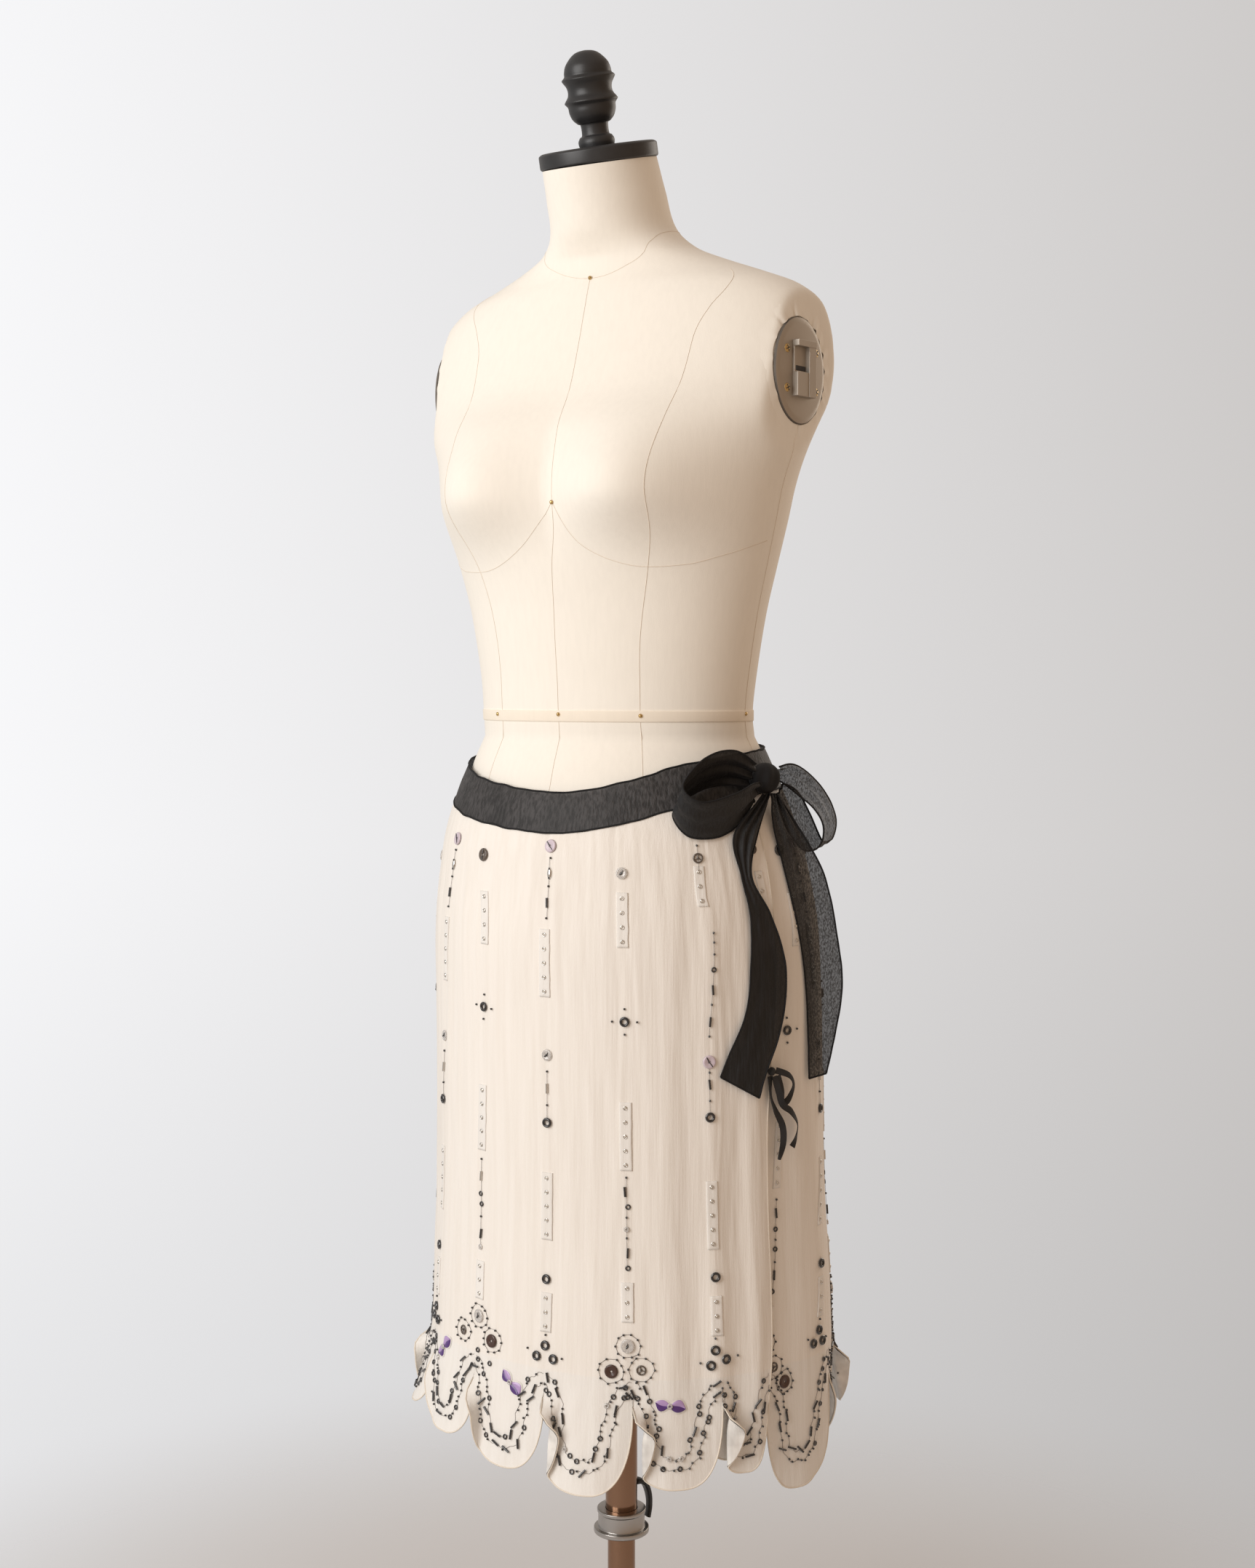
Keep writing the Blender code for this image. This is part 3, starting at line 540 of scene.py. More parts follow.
def colour_from(finish, colour):
    shader = finish.node_tree.nodes["Principled BSDF"]
    finish.node_tree.links.new(colour, shader.inputs["Base Color"])


def height_above_floor(finish, low, high, waver=0.0):
    """Share of the way from low to high, in the object's own z, with a little waver."""
    nodes = finish.node_tree.nodes
    links = finish.node_tree.links
    place = nodes.new("ShaderNodeTexCoord")
    split = nodes.new("ShaderNodeSeparateXYZ")
    links.new(place.outputs["Object"], split.inputs["Vector"])
    value = split.outputs["Z"]
    if waver:
        shift = nodes.new("ShaderNodeMath")
        shift.operation = "MULTIPLY_ADD"
        links.new(stretched_noise(finish, 14.0, (1.0, 1.0, 0.4)), shift.inputs[0])
        shift.inputs[1].default_value = waver
        links.new(value, shift.inputs[2])
        value = shift.outputs["Value"]
    spread = nodes.new("ShaderNodeMapRange")
    spread.inputs["From Min"].default_value = low
    spread.inputs["From Max"].default_value = high
    links.new(value, spread.inputs["Value"])
    return spread.outputs["Result"]


SILK_CREAM = (0.885, 0.840, 0.780)
SILK_WHITE = (0.865, 0.838, 0.795)
# Colour of the darker upright stripes: painted shade of the crinkles.
SILK_PAINTED_CRINKLE_SHADE = (0.965, 0.96, 0.95)
FULL_WHITE = (1.0, 1.0, 1.0)


def crinkled_silk(name, lined=True, mottle=20.0, shade=0.96):
    """Ivory chiffon with upright crinkles whose shade is painted into the colour as darker upright stripes, creamier
    where the lining lies behind it.
    """
    finish = new_material(name, SILK_WHITE, 0.78, Sheen_Weight=0.25, Sheen_Roughness=0.5)
    # Darker upright stripes along the crinkles: painted shade.
    crinkle_shade = ramp(finish, stretched_noise(finish, 170.0, (1.0, 1.0, 0.05), 3.0), (
        (0.35, SILK_PAINTED_CRINKLE_SHADE),
        (0.60, FULL_WHITE),
    ))
    if lined:
        level = height_above_floor(finish, LINING_HEM_Z - 0.001, LINING_HEM_Z + 0.001, 0.004)
        base = ramp(finish, level, ((0.0, SILK_WHITE), (1.0, SILK_CREAM)))
    else:
        # Without the lining the colour is mottled down by the shade factor: slight random tone for the slip and the
        # strips, painted shade of wrinkles and beads seen through the sheer layers for the hem facing.
        base = ramp(finish, stretched_noise(finish, mottle, (1.0, 1.0, 1.0)), (
            (0.35, SILK_WHITE),
            (0.65, tuple(shade * part for part in SILK_WHITE)),
        ))
    colour_from(finish, multiply(finish, base, crinkle_shade))
    add_bump(finish, stretched_noise(finish, 70.0, (1.0, 1.0, 0.07), 2.0), 0.30, 0.0010)
    add_bump(finish, stretched_noise(finish, 360.0, (1.0, 1.0, 0.05), 3.0), 0.60, 0.0006)
    add_bump(finish, stretched_noise(finish, 1100.0, (1.0, 1.0, 0.35), 2.0), 0.40, 0.0002)
    return finish


def black_chiffon(name, alpha, tone):
    """Sheer black crepe chiffon with a fine slanting crinkle, its colour darkened along the crinkle's lines as painted
    shade.
    """
    finish = new_material(name, (0.012, 0.012, 0.014), 0.62, Alpha=alpha, Sheen_Weight=0.05, Sheen_Roughness=0.4)
    turn = (0.0, math.radians(12.0), math.radians(20.0))
    worn = ramp(finish, stretched_noise(finish, 45.0, (1.0, 1.0, 0.6), 3.0), (
        (0.32, tuple(0.45 * part for part in tone)),
        (0.72, tone),
    ))
    lines = stretched_noise(finish, 420.0, (1.0, 1.0, 0.12), 2.0, turn)
    # The crinkle's lines darken the colour as well as the relief: painted shade along the crinkles.
    colour_from(finish, multiply(finish, worn, ramp(finish, lines, ((0.38, (0.30, 0.30, 0.30)), (0.60, FULL_WHITE)))))
    speckle = finish.node_tree.nodes.new("ShaderNodeMapRange")
    speckle.inputs["From Min"].default_value = 0.40
    speckle.inputs["From Max"].default_value = 0.62
    speckle.inputs["To Min"].default_value = alpha + 0.5 * (1.0 - alpha)
    speckle.inputs["To Max"].default_value = alpha - 1.1 * (1.0 - alpha)
    finish.node_tree.links.new(stretched_noise(finish, 900.0, (1.0, 1.0, 0.5), 2.0, turn), speckle.inputs["Value"])
    finish.node_tree.links.new(speckle.outputs["Result"], finish.node_tree.nodes["Principled BSDF"].inputs["Alpha"])
    add_bump(finish, lines, 0.8, 0.0010)
    add_bump(finish, stretched_noise(finish, 1500.0, (1.0, 1.0, 1.0), 1.0), 0.4, 0.0002)
    return finish


def woven_linen(name, colour):
    """Fine plain weave: two crossed sets of threads and faint slubs."""
    finish = new_material(name, colour, 0.85, Sheen_Weight=0.15, Sheen_Roughness=0.6)
    slubs = ramp(finish, stretched_noise(finish, 260.0, (1.0, 1.0, 0.15), 3.0), (
        (0.30, tuple(0.975 * part for part in colour)),
        (0.65, colour),
    ))
    colour_from(finish, slubs)
    add_bump(finish, stretched_noise(finish, 700.0, (1.0, 1.0, 5.0), 2.0), 0.22, 0.0002)
    add_bump(finish, stretched_noise(finish, 900.0, (1.0, 1.0, 0.12), 2.0), 0.30, 0.0002)
    return finish


def polished_metal(name, colour, roughness):
    finish = new_material(name, colour, roughness, Metallic=1.0)
    add_bump(finish, stretched_noise(finish, 90.0, (1.0, 1.0, 5.0), 2.0), 0.06, 0.0002)
    return finish


def satin_paint(name, colour, roughness):
    finish = new_material(name, colour, roughness)
    worn = ramp(finish, stretched_noise(finish, 45.0, (1.0, 1.0, 1.0), 4.0), (
        (0.35, colour),
        (0.75, tuple(min(1.0, 1.5 * part + 0.004) for part in colour)),
    ))
    colour_from(finish, worn)
    add_bump(finish, stretched_noise(finish, 600.0, (1.0, 1.0, 1.0), 2.0), 0.12, 0.0002)
    return finish


def glass_bead(name, colour, roughness, **sockets):
    finish = new_material(name, colour, roughness, **sockets)
    add_bump(finish, stretched_noise(finish, 500.0, (1.0, 1.0, 1.0), 1.0), 0.1, 0.0002)
    return finish


def add_camera():
    side = math.atan((PHOTO_WIDTH / 2 - AXIS_X) / FOCAL_PX)
    down = math.atan((PHOTO_HEIGHT / 2 - HORIZON_Y) / FOCAL_PX)
    away = Vector((-math.sin(CAMERA_AZIMUTH), math.cos(CAMERA_AZIMUTH), 0.0))
    right = Vector((math.cos(CAMERA_AZIMUTH), math.sin(CAMERA_AZIMUTH), 0.0))
    level = away * math.cos(side) + right * math.sin(side)
    right = right * math.cos(side) - away * math.sin(side)
    look = level * math.cos(down) - UP * math.sin(down)
    camera = bpy.data.objects.new("camera", bpy.data.cameras.new("camera"))
    camera.data.sensor_width = SENSOR_MM
    camera.data.lens = SENSOR_MM * FOCAL_PX / PHOTO_HEIGHT
    camera.data.clip_end = 60.0
    turn = Matrix((right, right.cross(look), -look)).transposed()
    camera.matrix_world = Matrix.Translation(-away * CAMERA_DISTANCE + UP * CAMERA_HEIGHT) @ turn.to_4x4()
    bpy.context.scene.collection.objects.link(camera)
    bpy.context.scene.camera = camera


def area_light(name, azimuth, distance, height, size, power, colour, aim_z=1.0):
    """Soft light at an azimuth round the axis, counted from the centre front towards the form's left."""
    turn = math.radians(azimuth)
    spot = Vector((distance * math.sin(turn), -distance * math.cos(turn), height))
    light = bpy.data.lights.new(name, "AREA")
    light.shape = "RECTANGLE"
    light.size, light.size_y = size
    light.energy = power
    light.color = colour
    item = bpy.data.objects.new(name, light)
    item.location = spot
    item.rotation_euler = (Vector((0.0, 0.0, aim_z)) - spot).to_track_quat("-Z", "Y").to_euler()
    bpy.context.scene.collection.objects.link(item)


BACKDROP_BRIGHT = (0.94, 0.94, 0.955)
BACKDROP_PAINTED_SHADE = (0.61, 0.59, 0.58)


def light_scene():
    """Pale backdrop with painted shade towards the right and the bottom, seen by the camera only; a soft window-like
    key from the viewer's left and a dim warm far side.
    """
    world = bpy.data.worlds.new("studio")
    bpy.context.scene.world = world
    world.use_nodes = True
    nodes = world.node_tree.nodes
    links = world.node_tree.links
    seen = nodes["Background"]
    place = nodes.new("ShaderNodeTexCoord")
    beside = nodes.new("ShaderNodeVectorMath")
    beside.operation = "DOT_PRODUCT"
    beside.inputs[1].default_value = (math.cos(CAMERA_AZIMUTH), math.sin(CAMERA_AZIMUTH), 0.0)
    links.new(place.outputs["Generated"], beside.inputs[0])
    across = nodes.new("ShaderNodeMapRange")
    across.inputs["From Min"].default_value = -0.3
    across.inputs["From Max"].default_value = 0.3
    links.new(beside.outputs["Value"], across.inputs["Value"])
    # Backdrop colour for camera rays: painted light at the viewer's left, painted shade towards the right.
    wall = nodes.new("ShaderNodeValToRGB")
    wall.color_ramp.elements[0].color = (*BACKDROP_BRIGHT, 1.0)
    wall.color_ramp.elements[1].color = (*BACKDROP_PAINTED_SHADE, 1.0)
    links.new(across.outputs["Result"], wall.inputs["Fac"])
    links.new(wall.outputs["Color"], seen.inputs["Color"])
    split = nodes.new("ShaderNodeSeparateXYZ")
    links.new(place.outputs["Generated"], split.inputs["Vector"])
    spread = nodes.new("ShaderNodeMapRange")
    spread.inputs["From Min"].default_value = -1.0
    spread.inputs["From Max"].default_value = 1.0
    links.new(split.outputs["X"], spread.inputs["Value"])
    tint = nodes.new("ShaderNodeValToRGB")
    tint.color_ramp.elements[0].color = (0.62, 0.60, 0.58, 1.0)
    tint.color_ramp.elements[1].color = (0.50, 0.345, 0.23, 1.0)
    links.new(spread.outputs["Result"], tint.inputs["Fac"])
    around = nodes.new("ShaderNodeBackground")
    around.inputs["Strength"].default_value = 0.84
    links.new(tint.outputs["Color"], around.inputs["Color"])
    path = nodes.new("ShaderNodeLightPath")
    mix = nodes.new("ShaderNodeMixShader")
    links.new(path.outputs["Is Camera Ray"], mix.inputs["Fac"])
    # Backdrop darker lower down: painted shade.
    lower = nodes.new("ShaderNodeMapRange")
    lower.inputs["From Min"].default_value = -0.42
    lower.inputs["From Max"].default_value = -0.08
    lower.inputs["To Min"].default_value = 0.80
    links.new(split.outputs["Z"], lower.inputs["Value"])
    links.new(lower.outputs["Result"], seen.inputs["Strength"])
    links.new(around.outputs["Background"], mix.inputs[1])
    links.new(seen.outputs["Background"], mix.inputs[2])
    links.new(mix.outputs["Shader"], nodes["World Output"].inputs["Surface"])
    area_light("window", -17.0, 2.5, 1.75, (1.8, 2.2), 52.5, (1.0, 0.99, 0.98))
    area_light("far_fill", 165.0, 2.6, 1.9, (1.6, 2.0), 15.0, (1.0, 0.92, 0.83))
    bpy.context.scene.view_settings.view_transform = "Standard"


def add_floor():
    """Round patch of pale floor whose edge fades away."""
    finish = new_material("floor", (0.70, 0.70, 0.71), 0.7)
    nodes = finish.node_tree.nodes
    links = finish.node_tree.links
    place = nodes.new("ShaderNodeTexCoord")
    reach = nodes.new("ShaderNodeVectorMath")
    reach.operation = "LENGTH"
    fade = nodes.new("ShaderNodeMapRange")
    fade.inputs["From Min"].default_value = 0.42
    fade.inputs["From Max"].default_value = 1.25
    fade.inputs["To Min"].default_value = 1.0
    fade.inputs["To Max"].default_value = 0.0
    fade.interpolation_type = "SMOOTHSTEP"
    links.new(place.outputs["Object"], reach.inputs[0])
    links.new(reach.outputs["Value"], fade.inputs["Value"])
    links.new(fade.outputs["Result"], nodes["Principled BSDF"].inputs["Alpha"])
    shape = Shape()
    rows = []
    for radius in spaced(0.001, 1.3, 14):
        rows.append([
            Vector((radius * math.cos(2 * math.pi * k / 48), radius * math.sin(2 * math.pi * k / 48), -0.0005))
            for k in range(48)
        ])
    shape.grid(rows, closed=True)
    mesh = bpy.data.meshes.new("floor")
    mesh.from_pydata(shape.points, [], shape.faces)
    mesh.materials.append(finish)
    mesh.shade_smooth()
    item = bpy.data.objects.new("floor", mesh)
    bpy.context.scene.collection.objects.link(item)


# Cloth surfaces

def fold_depth(angle, z):
    depth = 0.0
    for centre, half, size, top, bottom in FOLDS:
        turn = (angle - centre + 180.0) % 360.0 - 180.0
        if abs(turn) < 2.5 * half:
            fade = smooth_step((top - z) / 0.12) * (0.55 + 0.45 * smooth_step((top - z) / (top - bottom)))
            depth += size * fade * math.exp(-(turn / half) ** 2)
    return depth


def crinkle(angle, z):
    """Fine uneven relief of the crinkled cloth, about half a millimetre."""
    turn = math.radians(angle)
    place = Vector((math.cos(turn) * 13.0, math.sin(turn) * 13.0, z * 9.0))
    broad = noise.noise(place)
    fine = noise.noise(Vector((place.x * 2.6, place.y * 2.6, z * 22.0 + 5.0)))
    return 0.0008 * broad + 0.0004 * fine


def frame_at(angle, z):
    """Point on the skirt's smooth outer section, with the directions along it and out of it."""
    half_width, half_depth, centre_y = read_table(SKIRT_SECTIONS, z)
    turn = math.radians(angle)
    point = Vector((half_width * math.cos(turn), centre_y + half_depth * math.sin(turn), z))
    out = Vector((math.cos(turn) / half_width, math.sin(turn) / half_depth, 0.0)).normalized()
    along = Vector((-out.y, out.x, 0.0))
    return point, along, out


def cloth_point(angle, z, out_by=0.0, folds=True):
    point, _, out = frame_at(angle, z)
    depth = fold_depth(angle, z) if folds else 0.0
    return point + out * (out_by + depth)


def tongue_angle(row, u, z):
    start, end = row[:2]
    if end is None:
        end = read_table(FREE_EDGE, z)[0]
    return start + (end - start) * u


def tongue_drop(u):
    side = min(1.0, abs(2.0 * u - 1.0))
    return (1.0 - side ** TONGUE_POWER) ** (1.0 / TONGUE_POWER)


def hem_z(row, u):
    return NOTCH_Z - row[2] * tongue_drop(u)


def underlap_depth(angle, z):
    depth = UNDERLAP_TOP + (UNDERLAP_LOW - UNDERLAP_TOP) * smooth_step((0.93 - z) / 0.07)
    return depth * smooth_step((UNDERLAP_START - angle) / (UNDERLAP_START - UNDERLAP_FULL))


ROLL_MARGIN = 0.24
ROLL_BEND = 2.8
ROLL_RADIUS = 0.0028
ROLL_LEAD = 0.0065
METRES_A_DEGREE = 0.0031


def rolled(row, u, z):
    """Shift along, in degrees, and out of the start margin of a tongue, which folds back outward."""
    down = row[5] * smooth_step((NOTCH_Z + 0.004 - z) / (0.5 * row[2]))
    if down <= 0.0 or u > 0.6:
        return 0.0, 0.0
    lead = -ROLL_LEAD * down * (1.0 - smooth_step((u - ROLL_MARGIN) / (0.6 - ROLL_MARGIN)))
    if u >= ROLL_MARGIN:
        return lead / METRES_A_DEGREE, 0.0
    run = 24.0 * METRES_A_DEGREE * (ROLL_MARGIN - u)
    bend = ROLL_BEND * down
    turned = min(bend, run / ROLL_RADIUS)
    beyond = run - turned * ROLL_RADIUS
    level = ROLL_RADIUS * math.sin(turned) + beyond * math.cos(turned)
    out = ROLL_RADIUS * (1.0 - math.cos(turned)) + beyond * math.sin(turned)
    return (lead + run - level) / METRES_A_DEGREE, out


def panel_surface(row, u, z, underlap):
    """Point of a panel's cloth at a tongue's place u and height z."""
    _, _, drop, flare, lean, _ = row
    angle = tongue_angle(row, u, z)
    below = max(0.0, (NOTCH_Z - z) / drop)
    down = min(1.0, max(0.0, (NOTCH_Z + FLARE_START - z) / (drop + FLARE_START)))
    out = flare * down ** 1.6 * (0.35 + 0.65 * math.sin(math.pi * u))
    if underlap:
        out -= underlap_depth(angle, z)
    shift, roll_out = rolled(row, u, z)
    out += roll_out + crinkle(angle, z) * smooth_step((0.96 - z) / 0.05)
    return cloth_point(angle + shift + lean * below * math.sin(math.pi * u), z, out)


def tongue_at(tongues, angle, z):
    """Tongue row and place u of an angle on a panel."""
    for row in tongues:
        start = row[0]
        end = row[1] if row[1] is not None else read_table(FREE_EDGE, z)[0]
        if angle <= end or row is tongues[-1]:
            return row, min(1.0, max(0.0, (angle - start) / (end - start)))


def on_panel(row, u, z, underlap, lift=0.0):
    """Place on the cloth, its Z out of the cloth and its Y up it."""
    point = panel_surface(row, u, z, underlap)
    round_way = panel_surface(row, min(1.0, u + 0.02), z, underlap) - panel_surface(row, max(0.0, u - 0.02), z, underlap)
    up_way = panel_surface(row, u, z + 0.002, underlap) - panel_surface(row, u, z - 0.002, underlap)
    out = round_way.cross(up_way).normalized()
    across = up_way.cross(out).normalized()
    turn = Matrix((across, out.cross(across), out)).transposed()
    return Matrix.Translation(point + out * lift) @ turn.to_4x4()


def line_length(points):
    return sum((b - a).length for a, b in zip(points, points[1:]))


def declare_sheet(rows, level=False):
    """Measures the cloth that shows along its rows and columns and keeps nothing; a level sheet's width is read level.
    """
    length = max(line_length([row[c] for row in rows]) for c in range(len(rows[0])))
    if level:
        heights = [point.z for row in rows for point in row]
        length = max(length, max(heights) - min(heights))


TONGUE_COLUMNS = 46
BODY_ROWS = 58
HEM_ROWS = 18


def panel_columns(tongues):
    columns = []
    for row in tongues:
        for k in range(TONGUE_COLUMNS):
            columns.append((row, 0.5 - 0.5 * math.cos(math.pi * k / TONGUE_COLUMNS)))
    columns.append((tongues[-1], 1.0))
    return columns


def panel_rows(columns, underlap):
    tops = []
    for row, u in columns:
        angle = tongue_angle(row, u, 0.94)
        tuck = 0.8 * underlap_depth(angle, 0.94) if underlap else 0.0
        tops.append(read_table(WAIST_SEAM, angle)[0] - BAND_GAP - tuck)
    rows = []
    for share in spaced(0.0, 1.0, BODY_ROWS):
        rows.append([
            panel_surface(row, u, top + (HEM_START_Z - top) * share, underlap)
            for (row, u), top in zip(columns, tops)
        ])
    for share in spaced(0.0, 1.0, HEM_ROWS)[1:]:
        rows.append([
            panel_surface(row, u, HEM_START_Z + (hem_z(row, u) - HEM_START_Z) * share, underlap)
            for row, u in columns
        ])
    return rows


def add_panel(name, node, tongues, underlap, silk, edge):
    """Panel of crinkled silk with a narrow rolled edge along its hem and its free side."""
    columns = panel_columns(tongues)
    rows = panel_rows(columns, underlap)
    shape = Shape()
    shape.grid(rows)
    shape.tube([point for point in rows[-1]], 0.0007, slot=1)
    free = -1 if not underlap else 0
    shape.tube([row[free] for row in rows], 0.0007, slot=1)
    item = shape.build(name, silk, edge)
    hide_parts(node)
    declare_sheet(rows, level=True)
    return item


def facing_top(row, u):
    inside = smooth_step((0.5 - abs(u - 0.5) - 0.14) / 0.16)
    high = NOTCH_Z + FACING_WIDTH
    low = hem_z(row, u) + FACING_WIDTH * 1.05
    return high + (low - high) * inside


def add_facing(name, node, tongues, underlap, silk):
    """Doubled strip inside the tongues, with the ridge of its stitched upper edge."""
    rows = []
    columns = panel_columns(tongues)
    for share in spaced(0.0, 1.0, 8):
        points = []
        for row, u in columns:
            top = facing_top(row, u)
            z = top + (hem_z(row, u) + 0.0006 - top) * share
            points.append(on_panel(row, u, z, underlap, -0.0012).translation)
        rows.append(points)
    shape = Shape()
    shape.grid(rows)
    shape.tube(rows[0], 0.0005, sides=5)
    item = shape.build(name, silk)
    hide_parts(node)
    declare_sheet(rows, level=True)
    return item


def add_lining(slip):
    rows = []
    for share in spaced(0.0, 1.0, 36):
        points = []
        for angle in spaced(-180.0, 180.0, 181)[:-1]:
            top = read_table(WAIST_SEAM, angle)[0] - 0.003
            z = top + (LINING_HEM_Z - top) * share
            beyond = smooth_step((angle + 60.0) / 15.0)
            depth = 0.0017 + underlap_depth(angle, z) * beyond + 0.0045 * smooth_step((0.91 - z) / 0.12)
            points.append(cloth_point(angle, z, -depth + 0.5 * crinkle(angle, z), folds=False))
        rows.append(points)
    shape = Shape()
    shape.grid(rows, closed=True)
    shape.tube(rows[-1], 0.0006, closed=True, sides=5)
    item = shape.build("slip_lining", slip)
    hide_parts("lining")
    declare_sheet([row + row[:1] for row in rows], level=True)


def add_waistband(chiffon, edge):
    rows = []
    for share in spaced(1.0, 0.0, 12):
        points = []
        for angle in spaced(-180.0, 180.0, 241)[:-1]:
            z = read_table(WAIST_SEAM, angle)[0] + BAND_HEIGHT * share
            soft = 0.0006 * noise.noise(Vector((angle * 0.11, z * 60.0, 2.0)))
            waver = 0.0010 * noise.noise(Vector((angle * 0.16, 7.0, share * 2.0)))
            points.append(cloth_point(angle, z + waver, 0.0006 + soft, folds=False))
        rows.append(points)
    shape = Shape()
    shape.grid(rows, closed=True)
    shape.tube(rows[0], 0.0009, slot=1, closed=True)
    shape.tube(rows[-1], 0.0009, slot=1, closed=True)
    item = shape.build("sash_band", chiffon, edge)
    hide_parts("waistband")
    declare_sheet([row + row[:1] for row in rows])


SASH_WIDTH = 0.046
PLEATS = 2.6


def add_ribbon(name, node, stations, steps, chiffon, edge, seed, gathered):
    """Sash length through its stations, pleated where it narrows towards the knot."""
    samples = spline_rows(stations, steps)
    centres = []
    acrosses = []
    for angle, z, out_by, width, w_along, w_out, w_up in samples:
        _, along, out = frame_at(angle, z)
        centres.append(cloth_point(angle, z, out_by))
        acrosses.append((along * w_along + out * w_out + UP * w_up).normalized())
    rows = [[] for _ in range(25)]
    for i, (centre, across) in enumerate(zip(centres, acrosses)):
        width = samples[i][3]
        ahead = (centres[min(i + 1, steps - 1)] - centres[max(i - 1, 0)]).normalized()
        square = ahead.cross(across).normalized()
        near = 1.0 - smooth_step(i / steps / gathered)
        if gathered == 1.0:
            near = max(near, 1.0 - smooth_step((1.0 - i / steps) / 0.45), 0.25)
        gather = 0.0032 * near * max(0.0, 1.0 - width / SASH_WIDTH) + 0.0003
        for points, v in zip(rows, spaced(-1.0, 1.0, 25)):
            wave = math.sin(math.pi * PLEATS * v + seed + 0.9 * i / steps)
            soft = 0.0007 * noise.noise(Vector((v * 2.0 + seed, i * 0.16, seed)))
            points.append(centre + across * (v * width / 2.0) + square * (gather * wave + soft))
    shape = Shape()
    shape.grid(rows)
    shape.tube(rows[0], 0.0008, slot=1)
    shape.tube(rows[-1], 0.0008, slot=1)
    shape.tube([row[-1] for row in rows], 0.0008, slot=1)
    item = shape.build(name, chiffon, edge)
    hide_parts(node)
    declare_sheet(rows)
    return item


def add_knot(name, node, angle, z, out_by, radii, finish, folds=7.0):
    """Tied knot: a rounded lump with wrapped folds running over it."""
    _, along, out = frame_at(angle, z)
    turn = Matrix((along, out, UP)).transposed()
    centre = cloth_point(angle, z, out_by)
    rows = []
    for high in spaced(0.0, math.pi, 25):
        points = []
        for k in range(40):
            around = 2.0 * math.pi * k / 40
            fold = 1.0 + 0.07 * math.sin(folds * around + 1.6 * math.cos(high)) * math.sin(high)
            local = Vector((
                radii[0] * math.sin(high) * math.cos(around) * fold,
                radii[1] * math.sin(high) * math.sin(around) * fold,
                radii[2] * math.cos(high),
            ))
            points.append(centre + turn @ local)
        rows.append(points)
    shape = Shape()
    shape.grid(rows, closed=True)
    item = shape.build(name, finish)
    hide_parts(node)
    return item


def add_tie(name, node, route, finish, twist):
    """Narrow flat tie along its route; returns the piece and the points that it follows."""
    path = [cloth_point(*row) for row in spline_rows(route, 40)]
    rows = [[] for _ in range(4)]
    for i, point in enumerate(path):
        ahead = (path[min(i + 1, 39)] - path[max(i - 1, 0)]).normalized()
        out = (point - Vector((0.0, 0.01, point.z))).normalized()
        across = ahead.cross(out).normalized()
        square = across.cross(ahead).normalized()
        turn = twist * math.sin(2.2 * math.pi * i / 39)
        wide = (across * math.cos(turn) + square * math.sin(turn)) * (TIE_WIDTH / 2.0)
        thick = (square * math.cos(turn) - across * math.sin(turn)) * 0.0004
        for ring, corner in zip(rows, (wide + thick, wide - thick, -wide - thick, -wide + thick)):
            ring.append(point + corner)
    shape = Shape()
    sections = [[ring[i] for ring in rows] for i in range(40)]
    shape.grid(sections, closed=True)
    for section, order in ((sections[0], (0, 1, 2, 3)), (sections[-1], (3, 2, 1, 0))):
        first = len(shape.points)
        shape.points.extend(tuple(point) for point in section)
        shape.faces.append(tuple(first + k for k in order))
        shape.slots.append(0)
    item = shape.build(name, finish, smooth=False)
    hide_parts(node)
    return item, path


# Dress form

def bust_shape(x, z):
    rise = BUST_RISE if z > BUST_Z else BUST_FALL
    upright = math.exp(-((z - BUST_Z) / rise) ** 2)
    return BUST_DEPTH * upright * math.exp(-((abs(x) - BUST_X) / BUST_WIDTH) ** 2)


def torso_section(z):
    if z >= 1.0:
        return read_table(TORSO_SECTIONS, z)
    half_width, half_depth, centre_y = read_table(SKIRT_SECTIONS, z)
    inset = read_table(HIP_CLEARANCE, z)[0]
    return half_width - inset, half_depth - inset, centre_y, 0.0


def soft_limit(value, limit, ease):
    """value up to limit, eased into it over the last stretch."""
    if value < limit - ease:
        return value
    return limit - ease * math.exp(-(value - limit + ease) / ease)


def torso_point(angle, z, lift=0.0):
    half_width, half_depth, centre_y, tilt = torso_section(z)
    turn = math.radians(angle)
    x = (half_width + lift) * math.cos(turn)
    y = (half_depth + lift) * math.sin(turn)
    if y < 0.0:
        y -= bust_shape(x, z) * smooth_step(-y / 0.03)
    reach = SHOULDER_CLIP + (centre_y + y - PLATE_Y) * math.tan(PLATE_TURN)
    x = math.copysign(soft_limit(abs(x), reach, 0.004), x)
    return Vector((x, centre_y + y, z + y * math.tan(NECK_TILT) * tilt))


def add_torso(linen):
    heights = spaced(1.504, 1.300, 70) + spaced(1.296, 1.0, 62)[1:] + spaced(0.995, TORSO_BOTTOM_Z, 50)
    rows = [[torso_point(angle, z) for angle in spaced(0.0, 360.0, 161)[:-1]] for z in heights]
    bottom = rows[-1]
    centre = Vector((0.0, 0.005, TORSO_BOTTOM_Z))
    for share in (0.97, 0.6, 0.09):
        rows.append([centre + (point - centre) * share for point in bottom])
    shape = Shape()
    shape.grid(rows, closed=True)
    item = shape.build("form_cover", linen)
    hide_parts("torso")
    return item


def cap_place(height):
    z, _, _, centre_y, _ = TORSO_SECTIONS[0]
    place = Matrix.Translation((0.0, centre_y, z)) @ Matrix.Rotation(NECK_TILT, 4, "X")
    return place @ Matrix.Translation((0.0, 0.0, height))


